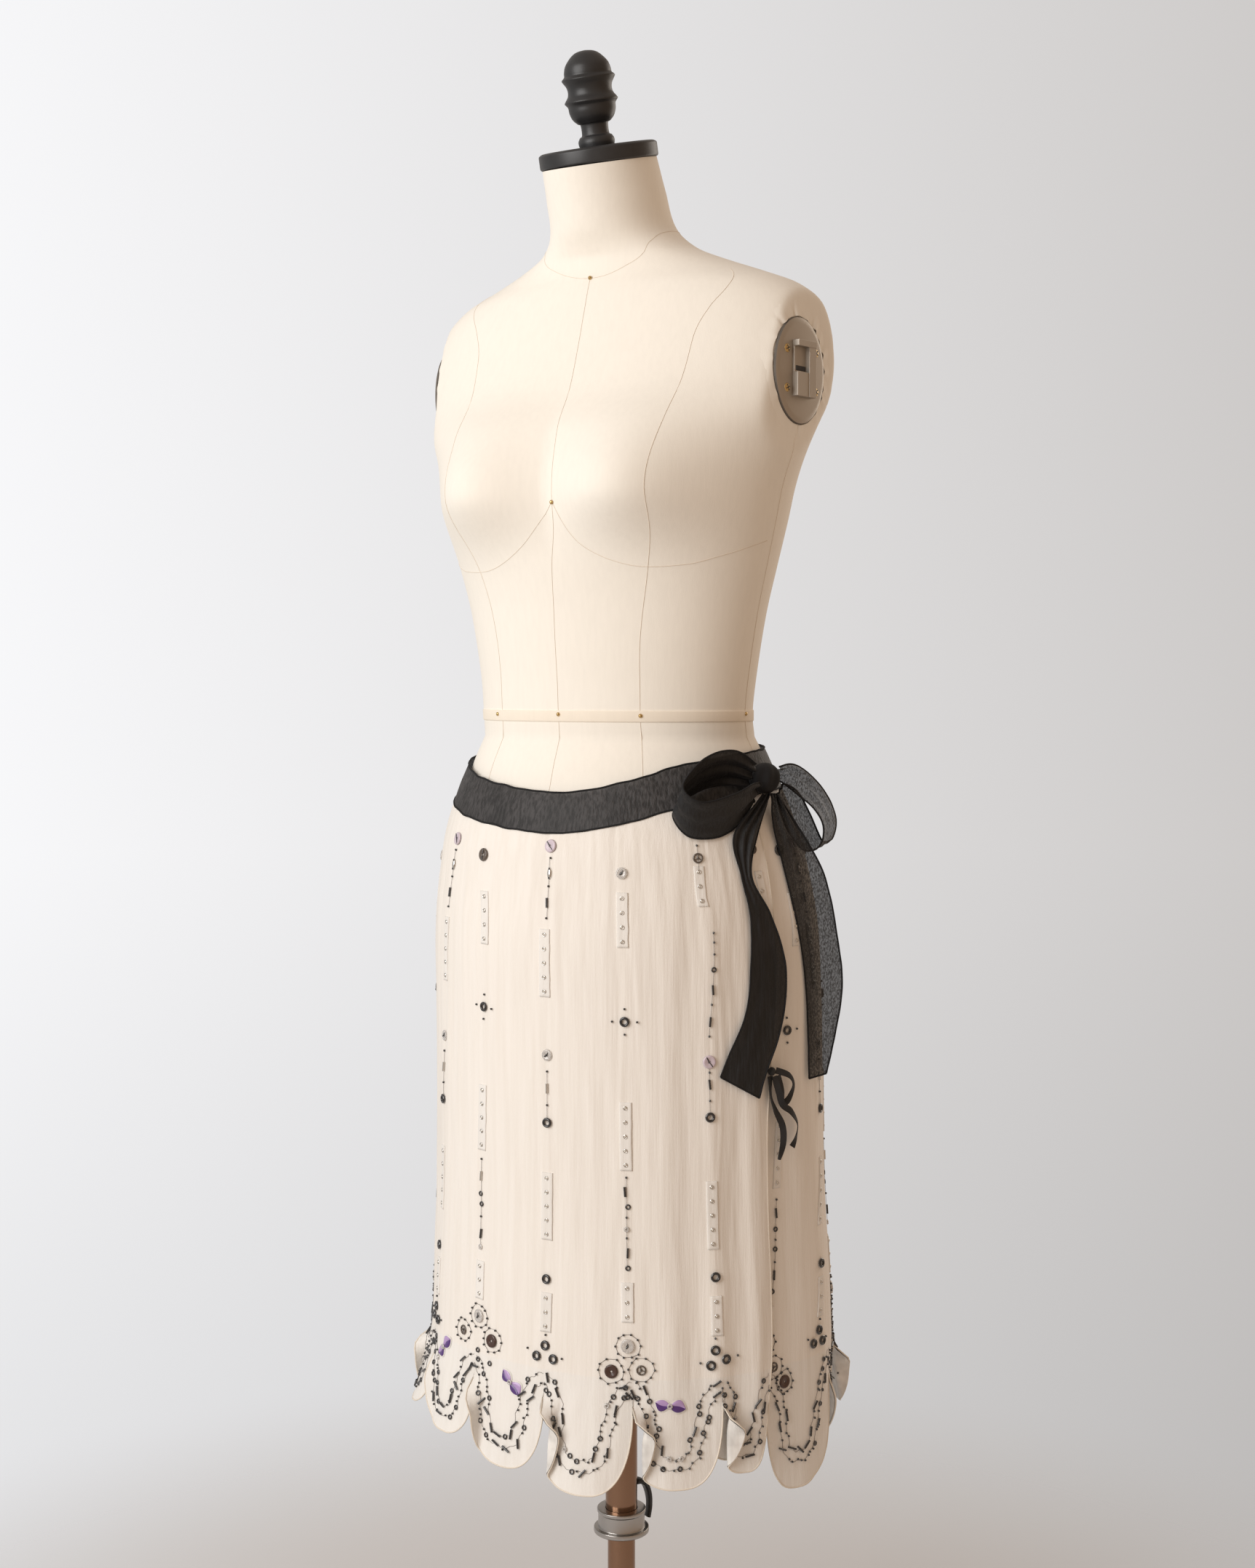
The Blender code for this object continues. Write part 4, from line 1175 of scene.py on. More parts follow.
def rounded(corners, radius, steps=3):
    """Profile with each inner corner rounded by a short bend."""
    result = [corners[0]]
    for before, corner, after in zip(corners, corners[1:], corners[2:]):
        a = Vector(before) - Vector(corner)
        b = Vector(after) - Vector(corner)
        cut = min(radius, 0.45 * a.length, 0.45 * b.length)
        start = Vector(corner) + a.normalized() * cut
        end = Vector(corner) + b.normalized() * cut
        for k in range(steps + 1):
            t = k / steps
            point = start * (1 - t) ** 2 + Vector(corner) * 2 * t * (1 - t) + end * t * t
            result.append(tuple(point))
    result.append(corners[-1])
    return result


def add_turned(name, node, body, place, corners, radius, finish, steps=72):
    shape = Shape()
    shape.lathe(place, rounded(corners, radius), steps=steps)
    item = shape.build(name, finish, body=body)
    item.data.set_sharp_from_angle(angle=math.radians(40.0))
    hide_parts(node)
    return item


def add_neck(black):
    low = 0.0003
    high = low + CAP_THICKNESS
    add_turned("cap_disc", "neck_cap", "form", cap_place(0.0), (
        (0.0, high),
        (CAP_RADIUS - 0.003, high),
        (CAP_RADIUS, high - 0.0018),
        (CAP_RADIUS, low + 0.0014),
        (CAP_RADIUS - 0.0012, low),
        (0.0, low),
    ), 0.0012, black, steps=96)
    profile = [(radius, height) for height, radius in spline_rows(FINIAL_PROFILE, 90)]
    shape = Shape()
    shape.lathe(cap_place(high + 0.0003), [(max(0.0, radius), height) for radius, height in profile], steps=64)
    item = shape.build("turned_finial", black)
    item.data.set_sharp_from_angle(angle=math.radians(50.0))
    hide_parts("finial")


def plate_place(side):
    """Place at the middle of an arm plate, its Z out of the form and its Y up."""
    out = Vector((side * math.cos(PLATE_TURN), -math.sin(PLATE_TURN), 0.0))
    across = UP.cross(out)
    turn = Matrix((across, UP, out)).transposed()
    return Matrix.Translation((side * SHOULDER_CLIP, PLATE_Y, PLATE_Z)) @ turn.to_4x4()


def add_arm_plate(name, node, side, steel, painted_shade_rim):
    place = plate_place(side)
    shape = Shape()
    half = (PLATE_SIZE[1] / 2.0, PLATE_SIZE[2] / 2.0)
    profile = ((0.0, 0.0038), (0.86, 0.0038), (0.93, 0.0034), (0.985, 0.0022), (1.0, 0.0008), (1.0, 0.0003))
    rows = []
    for share, height in profile:
        rows.append([
            place @ Vector((half[0] * share * math.cos(turn), half[1] * share * math.sin(turn), height))
            for turn in spaced(0.0, 2.0 * math.pi, 65)[:-1]
        ])
    shape.grid(rows[:-2], closed=True)
    # The outer edge faces take a near-black finish: painted shade of the gap round the plate.
    shape.grid(rows[-3:], slot=1, closed=True)
    item = shape.build(name, steel, painted_shade_rim)
    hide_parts(node)


def add_stand(steel, collar_steel, black):
    here = Matrix.Identity(4)
    add_turned("pole_sleeve", "sleeve", "form", here, (
        (0.0133, TORSO_BOTTOM_Z - 0.0003),
        (SLEEVE_RADIUS, TORSO_BOTTOM_Z - 0.0003),
        (SLEEVE_RADIUS, 0.2710),
        (0.0133, 0.2710),
        (0.0133, TORSO_BOTTOM_Z - 0.0003),
    ), 0.0004, steel)
    bore = SLEEVE_RADIUS + 0.0003
    add_turned("pole_collar", "collar", "form", here, (
        (bore, COLLAR_TOP_Z),
        (COLLAR_RADIUS + 0.001, COLLAR_TOP_Z),
        (COLLAR_RADIUS + 0.001, COLLAR_TOP_Z - 0.003),
        (COLLAR_RADIUS, COLLAR_TOP_Z - 0.004),
        (COLLAR_RADIUS, COLLAR_BOTTOM_Z + 0.0045),
        (COLLAR_FLANGE_RADIUS, COLLAR_BOTTOM_Z + 0.0045),
        (COLLAR_FLANGE_RADIUS, COLLAR_BOTTOM_Z),
        (0.0133, COLLAR_BOTTOM_Z),
        (0.0133, 0.2707),
        (bore, 0.2707),
        (bore, COLLAR_TOP_Z),
    ), 0.0008, collar_steel)
    add_turned("inner_pole", "lower_pole", "pole", here, (
        (0.0, 0.580),
        (POLE_RADIUS, 0.580),
        (POLE_RADIUS, 0.0103),
        (0.0, 0.0103),
    ), 0.0008, steel)
    add_turned("base_disc", "base", "stand", here, (
        (POLE_RADIUS + 0.0003, HUB_TOP_Z),
        (HUB_RADIUS - 0.003, HUB_TOP_Z),
        (HUB_RADIUS, HUB_TOP_Z - 0.003),
        (HUB_RADIUS, 0.018),
        (BASE_RADIUS - 0.030, 0.013),
        (BASE_RADIUS - 0.003, 0.010),
        (BASE_RADIUS, 0.007),
        (BASE_RADIUS, 0.001),
        (BASE_RADIUS - 0.001, 0.0),
        (0.0, 0.0),
    ), 0.003, black, steps=128)


def add_lever(black):
    turn = math.radians(LEVER_ANGLE)
    out = Vector((math.cos(turn), math.sin(turn), 0.0))
    across = Vector((-out.y, out.x, 0.0))
    samples = spline_rows(LEVER_RUN, 30)
    centres = [out * radius + UP * z for radius, z in samples]
    rows = []
    for i, centre in enumerate(centres):
        ahead = (centres[min(i + 1, 29)] - centres[max(i - 1, 0)]).normalized()
        square = across.cross(ahead).normalized()
        share = i / 29
        half_width = 0.5 * LEVER_WIDTH * (0.72 + 0.28 * math.sin(math.pi * min(1.0, 0.25 + share)))
        half_thick = 0.0027 * (1.0 - 0.35 * share)
        ring = []
        for around in spaced(0.0, 2.0 * math.pi, 17)[:-1]:
            wide = math.copysign(abs(math.cos(around)) ** 0.6, math.cos(around)) * half_width
            thick = math.copysign(abs(math.sin(around)) ** 0.6, math.sin(around)) * half_thick
            ring.append(centre + across * wide + square * thick)
        rows.append(ring)
    first = [centres[0]] * 16
    last = [centres[-1]] * 16
    shape = Shape()
    shape.grid([first] + rows + [last], closed=True, flip=True)
    item = shape.build("collar_lever", black, body="lever")
    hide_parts("clamp_lever")


# Beading

GLOSS, SILVER, BROWN, LILAC, CLEAR, BRONZE, LEAF_PAINTED_SHADE, LEAF_PAINTED_LIT, PEARL, CREAM, THREAD = range(11)
STUD_PITCH = 0.0121
STRIP_HALF = 0.0050
STRIP_MARGIN = 0.0048
COLUMN_A = (
    # piece, z, angle beside the column's line, studs in a strip
    ("clear_button", 0.8880, 0.0, 1),
    ("strip", 0.8670, 0.0, 4),
    ("cross", 0.7633, 0.0, 1),
    ("strip", 0.6900, 0.0, 5),
    ("dot", 0.6310, 0.0, 1),
    ("bugle", 0.6190, -0.4, 1),
    ("small_ring", 0.6060, 0.4, 1),
    ("dot", 0.5970, 0.0, 1),
    ("clear_bead", 0.5870, 0.0, 1),
    ("dot", 0.5795, 0.0, 1),
    ("bugle", 0.5670, 0.2, 1),
    ("small_ring", 0.5540, 0.2, 1),
    ("strip", 0.5370, 0.0, 3),
    ("clear_cluster", 0.4880, 0.0, 1),
    ("brown_cluster", 0.4660, -4.2, 1),
    ("wheel_cluster", 0.4680, 3.6, 1),
    ("small_ring", 0.4530, -0.5, 1),
    ("small_ring", 0.4450, 0.0, 1),
    ("small_ring", 0.4440, 2.7, 1),
)
COLUMN_A_RIGHT = (
    # piece, z, angle beside the column's line, studs in a strip
    ("brown_button", 0.8980, 0.0, 1),
    ("strip", 0.8620, 0.0, 4),
    ("cross", 0.7660, 0.0, 1),
    ("strip", 0.6920, 0.0, 5),
    ("dot", 0.6310, 0.0, 1),
    ("silver_bugle", 0.6160, 0.0, 1),
    ("small_ring", 0.6000, -0.3, 1),
    ("small_ring", 0.5910, 0.1, 1),
    ("dot", 0.5800, 0.0, 1),
    ("bugle", 0.5650, 0.2, 1),
    ("clear_bead", 0.5530, 0.0, 1),
    ("strip", 0.5360, 0.0, 3),
    ("clear_cluster", 0.4920, 0.0, 1),
    ("wheel_cluster", 0.4746, -6.6, 1),
    ("brown_cluster", 0.4740, 5.4, 1),
    ("small_ring", 0.4620, 0.0, 1),
    ("small_ring", 0.4540, 0.2, 1),
    ("small_ring", 0.4540, 5.0, 1),
)
COLUMN_B = (
    # piece, z, angle beside the column's line, studs in a strip
    ("lilac_button", 0.9090, 0.0, 1),
    ("dot", 0.8990, 0.3, 1),
    ("silver_oval", 0.8860, 0.1, 1),
    ("dot", 0.8750, 0.0, 1),
    ("bugle", 0.8610, -0.2, 1),
    ("dot", 0.8480, -0.2, 1),
    ("strip", 0.8340, -0.6, 5),
    ("clear_button", 0.7310, 0.0, 1),
    ("dot", 0.7170, 0.0, 1),
    ("silver_bugle", 0.7025, 0.0, 1),
    ("dot", 0.6880, 0.0, 1),
    ("large_ring", 0.6730, 0.0, 1),
    ("strip", 0.6250, 0.0, 5),
    ("large_ring", 0.5380, 0.0, 1),
    ("strip", 0.5215, 0.0, 3),
    ("dot", 0.4900, 0.0, 1),
    ("large_ring", 0.4810, 0.0, 1),
    ("large_ring", 0.4710, -2.4, 1),
    ("large_ring", 0.4705, 2.5, 1),
    ("dot", 0.4760, -5.3, 1),
    ("dot", 0.4720, 4.9, 1),
)
COLUMN_B_LEFT = (
    # piece, z, angle beside the column's line, studs in a strip
    ("dot", 0.9110, 0.0, 1),
    ("wheel", 0.9005, 0.0, 1),
    ("strip", 0.8890, 0.0, 3),
    ("dot", 0.8380, 0.0, 1),
    ("dot", 0.8300, 0.0, 1),
    ("dot", 0.8200, 0.0, 1),
    ("small_ring", 0.8070, 0.0, 1),
    ("bugle", 0.7900, 0.0, 1),
    ("dot", 0.7775, 0.0, 1),
    ("bugle", 0.7630, 0.0, 1),
    ("dot", 0.7506, 0.0, 1),
    ("lilac_button", 0.7290, 0.0, 1),
    ("dot", 0.7200, 0.0, 1),
    ("bugle", 0.7100, 0.0, 1),
    ("dot", 0.6960, 0.0, 1),
    ("large_ring", 0.6820, 0.0, 1),
    ("strip", 0.6225, 0.3, 5),
    ("large_ring", 0.5460, 0.5, 1),
    ("strip", 0.5250, 0.6, 3),
    ("dot", 0.4940, 0.0, 1),
    ("large_ring", 0.4840, 0.0, 1),
    ("large_ring", 0.4710, -1.2, 1),
    ("large_ring", 0.4756, 3.0, 1),
    ("dot", 0.4730, -4.1, 1),
    ("dot", 0.4770, 6.8, 1),
)
COLUMN_SLIT = (
    # piece, z, angle beside the column's line, studs in a strip
    ("dark_button", 0.9040, 0.0, 1),
    ("strip", 0.8620, 0.0, 4),
    ("cross", 0.7490, 0.0, 1),
    ("strip", 0.6665, 0.0, 5),
    ("dot", 0.6035, 0.0, 1),
    ("bugle", 0.5920, 0.0, 1),
    ("small_ring", 0.5780, 0.0, 1),
    ("dot", 0.5690, 0.0, 1),
    ("small_ring", 0.5610, 0.0, 1),
    ("dot", 0.5500, 0.0, 1),
    ("bugle", 0.5390, 0.0, 1),
    ("small_ring", 0.5250, 0.0, 1),
    ("strip", 0.5080, 0.0, 2),
    ("clear_cluster", 0.4820, 0.6, 1),
    ("wheel_cluster", 0.4600, 3.3, 1),
    ("brown_cluster", 0.4450, 7.6, 1),
)
COLUMN_EDGE = (
    # piece, z, angle beside the column's line, studs in a strip
    ("wheel", 0.9065, 0.0, 1),
    ("strip", 0.8830, 0.0, 3),
)
THREADS_A = ((0.631, 0.554),)
THREADS_B = ((0.899, 0.848), (0.717, 0.673))
THREADS_B_LEFT = ((0.911, 0.889), (0.838, 0.7506), (0.729, 0.682))
THREADS_SLIT = ((0.6035, 0.525),)
FRONT_COLUMNS = (
    # pieces, threads, line of the column as z and angle
    (COLUMN_A, THREADS_A, ((0.90, -157.5), (0.45, -158.5))),
    (COLUMN_B, THREADS_B, ((0.91, -128.0), (0.45, -134.0))),
    (COLUMN_A_RIGHT, THREADS_A, ((0.898, -111.2), (0.83, -108.0), (0.63, -109.5), (0.49, -109.3))),
    (COLUMN_B, THREADS_B, ((0.91, -86.0), (0.45, -86.5))),
    (COLUMN_A, THREADS_A, ((0.89, -64.3), (0.45, -64.0))),
    (COLUMN_B_LEFT, THREADS_B_LEFT, (
        (0.911, -41.0), (0.865, -41.0), (0.838, -38.3), (0.750, -40.7), (0.729, -40.8), (0.45, -40.5),
    )),
    (COLUMN_EDGE, (), ((0.9065, -20.8), (0.871, -19.3))),
)
BACK_COLUMNS = (
    # pieces, threads, line of the column as z and angle
    (COLUMN_SLIT, THREADS_SLIT, (
        (0.904, -7.4), (0.862, -5.3), (0.824, -5.6), (0.749, -11.7), (0.656, -15.5), (0.592, -17.6),
        (0.550, -19.0), (0.525, -20.4), (0.508, -22.1), (0.485, -24.0),
    )),
    (COLUMN_B, THREADS_B, ((0.90, 3.0), (0.66, 7.0), (0.619, 6.7), (0.571, 3.0), (0.517, 1.4), (0.468, -2.0))),
    (COLUMN_A_RIGHT, THREADS_A, ((0.90, 29.5), (0.45, 31.36))),
    (COLUMN_B, THREADS_B, ((0.90, 56.5), (0.45, 55.71))),
    (COLUMN_A, THREADS_A, ((0.90, 80.5), (0.45, 80.07))),
    (COLUMN_B, THREADS_B, ((0.90, 104.0), (0.45, 104.43))),
    (COLUMN_A_RIGHT, THREADS_A, ((0.90, 127.5), (0.45, 128.79))),
    (COLUMN_B, THREADS_B, ((0.90, 151.0), (0.45, 153.14))),
    (COLUMN_B, THREADS_B, ((0.90, 174.0), (0.45, 175.5))),
)
FRONT_LEAVES = (
    # angle, z, turn in degrees
    (-125.5, 0.4514, 62.0),
    (-96.6, 0.4436, -28.0),
    (-52.9, 0.4387, 6.0),
)
BACK_LEAVES = (
    # angle, z, turn in degrees
    (43.0, 0.4400, 20.0),
    (93.0, 0.4380, -30.0),
    (141.0, 0.4400, 12.0),
)
TRAIL = (
    # place across the tongue, share of its drop, lift above the notch
    (0.00, 0.00, 0.0165),
    (0.09, 0.00, 0.0105),
    (0.18, 0.06, 0.0),
    (0.24, 0.24, 0.0),
    (0.28, 0.48, 0.0),
    (0.35, 0.64, 0.0),
    (0.46, 0.69, 0.0),
    (0.58, 0.67, 0.0),
    (0.66, 0.56, 0.0),
    (0.71, 0.36, 0.0),
    (0.76, 0.13, 0.0),
    (0.84, 0.00, 0.0070),
    (0.92, 0.00, 0.0135),
    (1.00, 0.00, 0.0165),
)
TRAIL_GAP = 0.0044
TRAIL_BEADS = (
    # bead, how often, room along the thread
    ("dot", 7, 0.0046),
    ("bugle", 3, 0.0098),
    ("small_ring", 2.4, 0.0064),
    ("clear_bead", 0.35, 0.0062),
)


class Beading:
    """Beads, buttons and strips sewn to one panel, each on its own place on the cloth."""

    def __init__(self, tongues, underlap, seed):
        self.shape = Shape()
        self.tongues = tongues
        self.underlap = underlap
        self.random = random.Random(seed)

    def place(self, angle, z, lift=0.0, turn=0.0):
        row, u = tongue_at(self.tongues, angle, z)
        return on_panel(row, u, z, self.underlap, lift) @ Matrix.Rotation(math.radians(turn), 4, "Z")

    def bar(self, place, start, end, height, radius, slot, sides=5):
        self.shape.tube([place @ Vector((*start, height)), place @ Vector((*end, height))], radius, slot, sides)

    def bead(self, kind, place):
        shape = self.shape
        if kind == "dot":
            shape.ball(place @ Matrix.Translation((0.0, 0.0, 0.0008)), 0.0011, GLOSS, 6)
        elif kind in ("bugle", "silver_bugle"):
            slot = GLOSS if kind == "bugle" else SILVER
            self.bar(place, (0.0, -0.0042), (0.0, 0.0042), 0.0012, 0.00098, slot, 6)
        elif kind == "small_ring":
            shape.ring(place, 0.0018, 0.00062, GLOSS, 14, 6)
        elif kind == "clear_bead":
            shape.ring(place, 0.0016, 0.00085, CLEAR, 14, 6)
        elif kind == "large_ring":
            shape.ring(place, 0.0032, 0.00115, GLOSS, 20, 8)
        elif kind == "stud":
            shape.ring(place, 0.00145, 0.00048, SILVER, 12, 6)
            shape.ball(place @ Matrix.Translation((0.0, 0.0, 0.0004)), 0.0011, PEARL, 8, 0.8)
            shape.ball(place @ Matrix.Translation((0.0002, -0.0002, 0.00115)), 0.0004, THREAD, 5, 0.5)
        elif kind == "silver_oval":
            shape.lathe(place, ((0.0, 0.0018), (0.0020, 0.0016), (0.0030, 0.0009), (0.0031, 0.0)), SILVER, 16,
                        (0.75, 1.5))
            self.bar(place, (0.0, 0.0030), (0.0, 0.0048), 0.0012, 0.0008, GLOSS)
            self.bar(place, (0.0, -0.0030), (0.0, -0.0048), 0.0012, 0.0008, GLOSS)
        elif kind == "cross":
            self.bead("large_ring", place)
            for side in ((0.0108, 0.0), (-0.0108, 0.0), (0.0, 0.0108), (0.0, -0.0108)):
                self.bead("dot", place @ Matrix.Translation((*side, 0.0)))
        elif kind == "wheel":
            shape.ring(place, 0.0037, 0.0007, BRONZE, 20, 6)
            shape.ball(place @ Matrix.Translation((0.0, 0.0, 0.0006)), 0.0012, GLOSS, 8, 0.6)
            for turn in (90.0, 210.0, 330.0):
                way = math.radians(turn)
                self.bar(place, (0.0, 0.0), (0.0037 * math.cos(way), 0.0037 * math.sin(way)), 0.0009, 0.0005, BRONZE)
        else:
            self.button(kind, place)

    def button(self, kind, place):
        radius, slot = {
            "brown_button": (0.0058, BRONZE),
            "dark_button": (0.0052, GLOSS),
            "brown_round": (0.0059, BROWN),
            "lilac_button": (0.0057, LILAC),
            "clear_button": (0.0050, CLEAR),
            "clear_round": (0.0060, CLEAR),
        }[kind]
        hole = 0.0010
        self.shape.lathe(place, (
            (hole, 0.0003),
            (hole, 0.0012),
            (hole + 0.0006, 0.0016),
            (radius - 0.0022, 0.0015),
            (radius - 0.0012, 0.0019),
            (radius - 0.0003, 0.0015),
            (radius, 0.0008),
            (radius - 0.0002, 0.0002),
        ), slot, 24)
        self.shape.lathe(place, ((0.0, 0.0004), (hole, 0.0004)), CREAM, 12)
        if kind == "brown_button":
            self.bar(place, (0.0, 0.0012), (0.0002, 0.0048), 0.0017, 0.0006, GLOSS)
            self.bar(place, (0.0, -0.0012), (-0.0002, -0.0048), 0.0017, 0.0006, GLOSS)
        elif kind in ("lilac_button", "dark_button"):
            self.bar(place, (-0.0028, 0.0040), (-0.0004, 0.0002), 0.0018, 0.0005, GLOSS)
            self.bar(place, (-0.0004, 0.0002), (0.0030, -0.0040), 0.0018, 0.0004, GLOSS)
        elif kind in ("clear_button", "clear_round"):
            self.bar(place, (-0.0018, -0.0010), (0.0006, 0.0002), 0.0018, 0.0008, GLOSS)
            self.bar(place, (0.0004, 0.0), (0.0014, 0.0024), 0.0018, 0.0004, GLOSS)

    def thread(self, points, radius=0.00016):
        self.shape.tube([point + Vector((0.0, 0.0, 0.0)) for point in points], radius, THREAD, 4)

    def cluster(self, kind, angle, z):
        """Button in an uneven loop of thread with a dot at each of its corners."""
        middle = {"clear_cluster": "clear_round", "brown_cluster": "brown_round", "wheel_cluster": "wheel"}[kind]
        self.bead(middle, self.place(angle, z, 0.0001, self.random.uniform(-40.0, 40.0)))
        corners = []
        for k in range(10):
            way = math.radians(36.0 * k + self.random.uniform(-6.0, 6.0))
            reach = 0.0104 * self.random.uniform(0.93, 1.07)
            spot = self.place(angle + reach * math.cos(way) / METRES_A_DEGREE, z + reach * math.sin(way), 0.0003)
            self.bead("dot", spot)
            corners.append(spot.translation)
        self.shape.tube(corners, 0.0002, THREAD, 4, closed=True)

    def strip(self, line, z, beside, count):
        """Raised strip of folded silk with studs down its middle."""
        low = z - STUD_PITCH * (count - 1)
        heights = spaced(z + STRIP_MARGIN, low - STRIP_MARGIN, 6 * count + 1)
        profile = ((-1.0, 0.0), (-0.99, 0.0007), (-0.85, 0.0009), (-0.3, 0.0006), (0.3, 0.0006), (0.85, 0.0009),
                   (0.99, 0.0007), (1.0, 0.0))
        rows = []
        for i, level in enumerate([heights[0]] + heights + [heights[-1]]):
            flat = 0.0 if i in (0, len(heights) + 1) else 1.0
            angle = read_table(line, level)[0] + beside
            waver = 0.0005 * noise.noise(Vector((level * 110.0, angle, 3.0)))
            row = []
            for share, lift in profile:
                reach = share * STRIP_HALF + waver * (1.0 if share > 0.5 else 0.3)
                row.append(self.place(angle + reach / METRES_A_DEGREE, level, lift * flat + 0.0001).translation)
            rows.append(row)
        self.shape.grid(rows, CREAM)
        for k in range(count):
            level = z - STUD_PITCH * k
            angle = read_table(line, level)[0] + beside - 0.12
            self.bead("stud", self.place(angle, level, 0.0006, self.random.uniform(0.0, 360.0)))

    def column(self, pieces, threads, line):
        for kind, z, beside, count in pieces:
            angle = read_table(line, z)[0] + beside
            if kind == "strip":
                self.strip(line, z, beside, count)
            elif kind.endswith("cluster"):
                self.cluster(kind, angle, z)
            else:
                self.bead(kind, self.place(angle, z, 0.0001, self.random.uniform(-7.0, 7.0)))
        for top, low in threads:
            steps = max(3, int((top - low) / 0.008))
            self.thread([
                self.place(read_table(line, z)[0], z, 0.0008).translation for z in spaced(top, low, steps)
            ])

    def trail(self, row):
        """Two threads of mixed beads that follow a tongue's outline inside its hem."""
        width = (tongue_angle(row, 1.0, NOTCH_Z) - row[0]) * METRES_A_DEGREE
        stations = [(u, NOTCH_Z + lift - share * row[2]) for u, share, lift in spline_rows(TRAIL, 46)]
        names = [name for name, _, _ in TRAIL_BEADS]
        weights = [weight for _, weight, _ in TRAIL_BEADS]
        rooms = {name: room for name, _, room in TRAIL_BEADS}
        for side in (-1.0, 1.0):
            places = []
            for i, (u, z) in enumerate(stations):
                before = stations[max(0, i - 1)]
                after = stations[min(len(stations) - 1, i + 1)]
                ahead = Vector(((after[0] - before[0]) * width, after[1] - before[1]))
                ahead.normalize()
                gap = side * TRAIL_GAP * (1.0 + 0.25 * math.sin(1.7 * i + side + row[0]))
                beside_u = u - ahead.y * gap / width
                beside_z = z + ahead.x * gap
                place = on_panel(row, min(1.0, max(0.0, beside_u)), beside_z, self.underlap, 0.0003)
                places.append((place, math.degrees(math.atan2(-ahead.x, ahead.y))))
            points = [place.translation for place, _ in places]
            self.thread(points)
            reach = [0.0]
            for a, b in zip(points, points[1:]):
                reach.append(reach[-1] + (b - a).length)
            travelled = self.random.uniform(0.001, 0.005)
            while travelled < reach[-1] - 0.002:
                index = max(i for i, length in enumerate(reach) if length <= travelled)
                place, turn = places[index]
                kind = self.random.choices(names, weights)[0]
                turn += self.random.gauss(0.0, 32.0)
                aside = Vector((self.random.uniform(-0.0011, 0.0011), self.random.uniform(-0.0011, 0.0011), 0.0))
                self.bead(kind, place @ Matrix.Translation(aside) @ Matrix.Rotation(math.radians(turn), 4, "Z"))
                travelled += rooms[kind] * self.random.uniform(0.9, 1.35)

    def leaf(self, angle, z, turn, reach, slots):
        """Leaf of folded shiny cloth, one half painted lit and the other in painted shade, on a cream ground."""
        way = math.radians(turn)
        for scale, lift, dome, sides in ((1.22, 0.0004, 0.0003, (CREAM, CREAM)), (1.0, 0.0009, 0.0007, slots)):
            for half, slot in zip((1.0, -1.0), sides):
                rows = []
                for t in spaced(0.0, 1.0, 11):
                    wide = 0.40 * reach * math.sin(math.pi * t) ** 0.8 * scale
                    along = reach * ((t - 0.5) * scale + 0.5)
                    row = []
                    for v in spaced(0.0, 1.0, 4):
                        bend = 0.10 * reach * math.sin(math.pi * t)
                        dx = along * math.cos(way) - (half * v * wide + bend) * math.sin(way)
                        dy = along * math.sin(way) + (half * v * wide + bend) * math.cos(way)
                        high = lift + dome * math.sin(math.pi * v)
                        row.append(self.place(angle + dx / METRES_A_DEGREE, z + dy, high).translation)
                    rows.append(row)
                self.shape.grid(rows, slot, flip=half > 0.0)

    def leaf_pair(self, angle, z, turn):
        # The second leaf points the other way with its slots swapped, so the painted lit half lies on the same side in
        # both.
        self.leaf(angle, z, turn - 20.0, 0.0132, (LEAF_PAINTED_LIT, LEAF_PAINTED_SHADE))
        self.leaf(angle, z, turn + 160.0, 0.0120, (LEAF_PAINTED_SHADE, LEAF_PAINTED_LIT))
        self.bead("clear_bead", self.place(angle, z, 0.0012))


def add_beading(name, tongues, underlap, columns, trails, leaves, seed, finishes):
    beading = Beading(tongues, underlap, seed)
    for pieces, threads, line in columns:
        beading.column(pieces, threads, line)
    for row in trails:
        beading.trail(row)
    for angle, z, turn in leaves:
        beading.leaf_pair(angle, z, turn)
    beading.shape.build(name, *finishes)


# Trim of the dress form

SEAMS = (
    # each seam as rows of angle and ring height
    ((-88.0, 1.400), (-88.8, 1.308), (-86.9, 1.200), (-89.9, 1.145), (-91.2, 1.085), (-91.0, 1.021), (-91.0, 0.95)),
    ((-86.9, 1.201), (-78.3, 1.1655), (-62.0, 1.147), (-43.0, 1.1470), (-27.9, 1.155), (-4.7, 1.1695)),
    ((-86.9, 1.201), (-99.7, 1.1655), (-116.0, 1.147), (-136.0, 1.1470), (-152.1, 1.155), (-175.3, 1.1695)),
    ((-32.0, 1.402), (-45.0, 1.382), (-52.6, 1.365), (-57.5, 1.340), (-58.2, 1.2985), (-56.0, 1.2637),
     (-53.2, 1.217), (-52.5, 1.184),
     (-55.5, 1.144), (-57.9, 1.084), (-57.0, 1.021), (-57.2, 0.95)),
    ((-148.0, 1.402), (-135.0, 1.382), (-127.4, 1.365), (-122.5, 1.340), (-121.8, 1.2985), (-124.0, 1.2637),
     (-126.8, 1.217), (-127.5, 1.184),
     (-124.5, 1.144), (-122.1, 1.084), (-123.0, 1.021), (-122.8, 0.95)),
    ((-3.0, 1.262), (-2.0, 1.20), (0.0, 1.14), (1.0, 1.06), (1.2, 0.97)),
    ((-177.0, 1.262), (-178.0, 1.20), (-180.0, 1.14), (-181.0, 1.06), (-181.2, 0.97)),
    ((90.0, 1.428), (90.0, 1.30), (90.0, 1.15), (90.0, 0.97)),
    ((50.0, 1.400), (58.0, 1.33), (62.0, 1.20), (60.0, 1.05), (60.0, 0.97)),
    ((130.0, 1.400), (122.0, 1.33), (118.0, 1.20), (120.0, 1.05), (120.0, 0.97)),
)
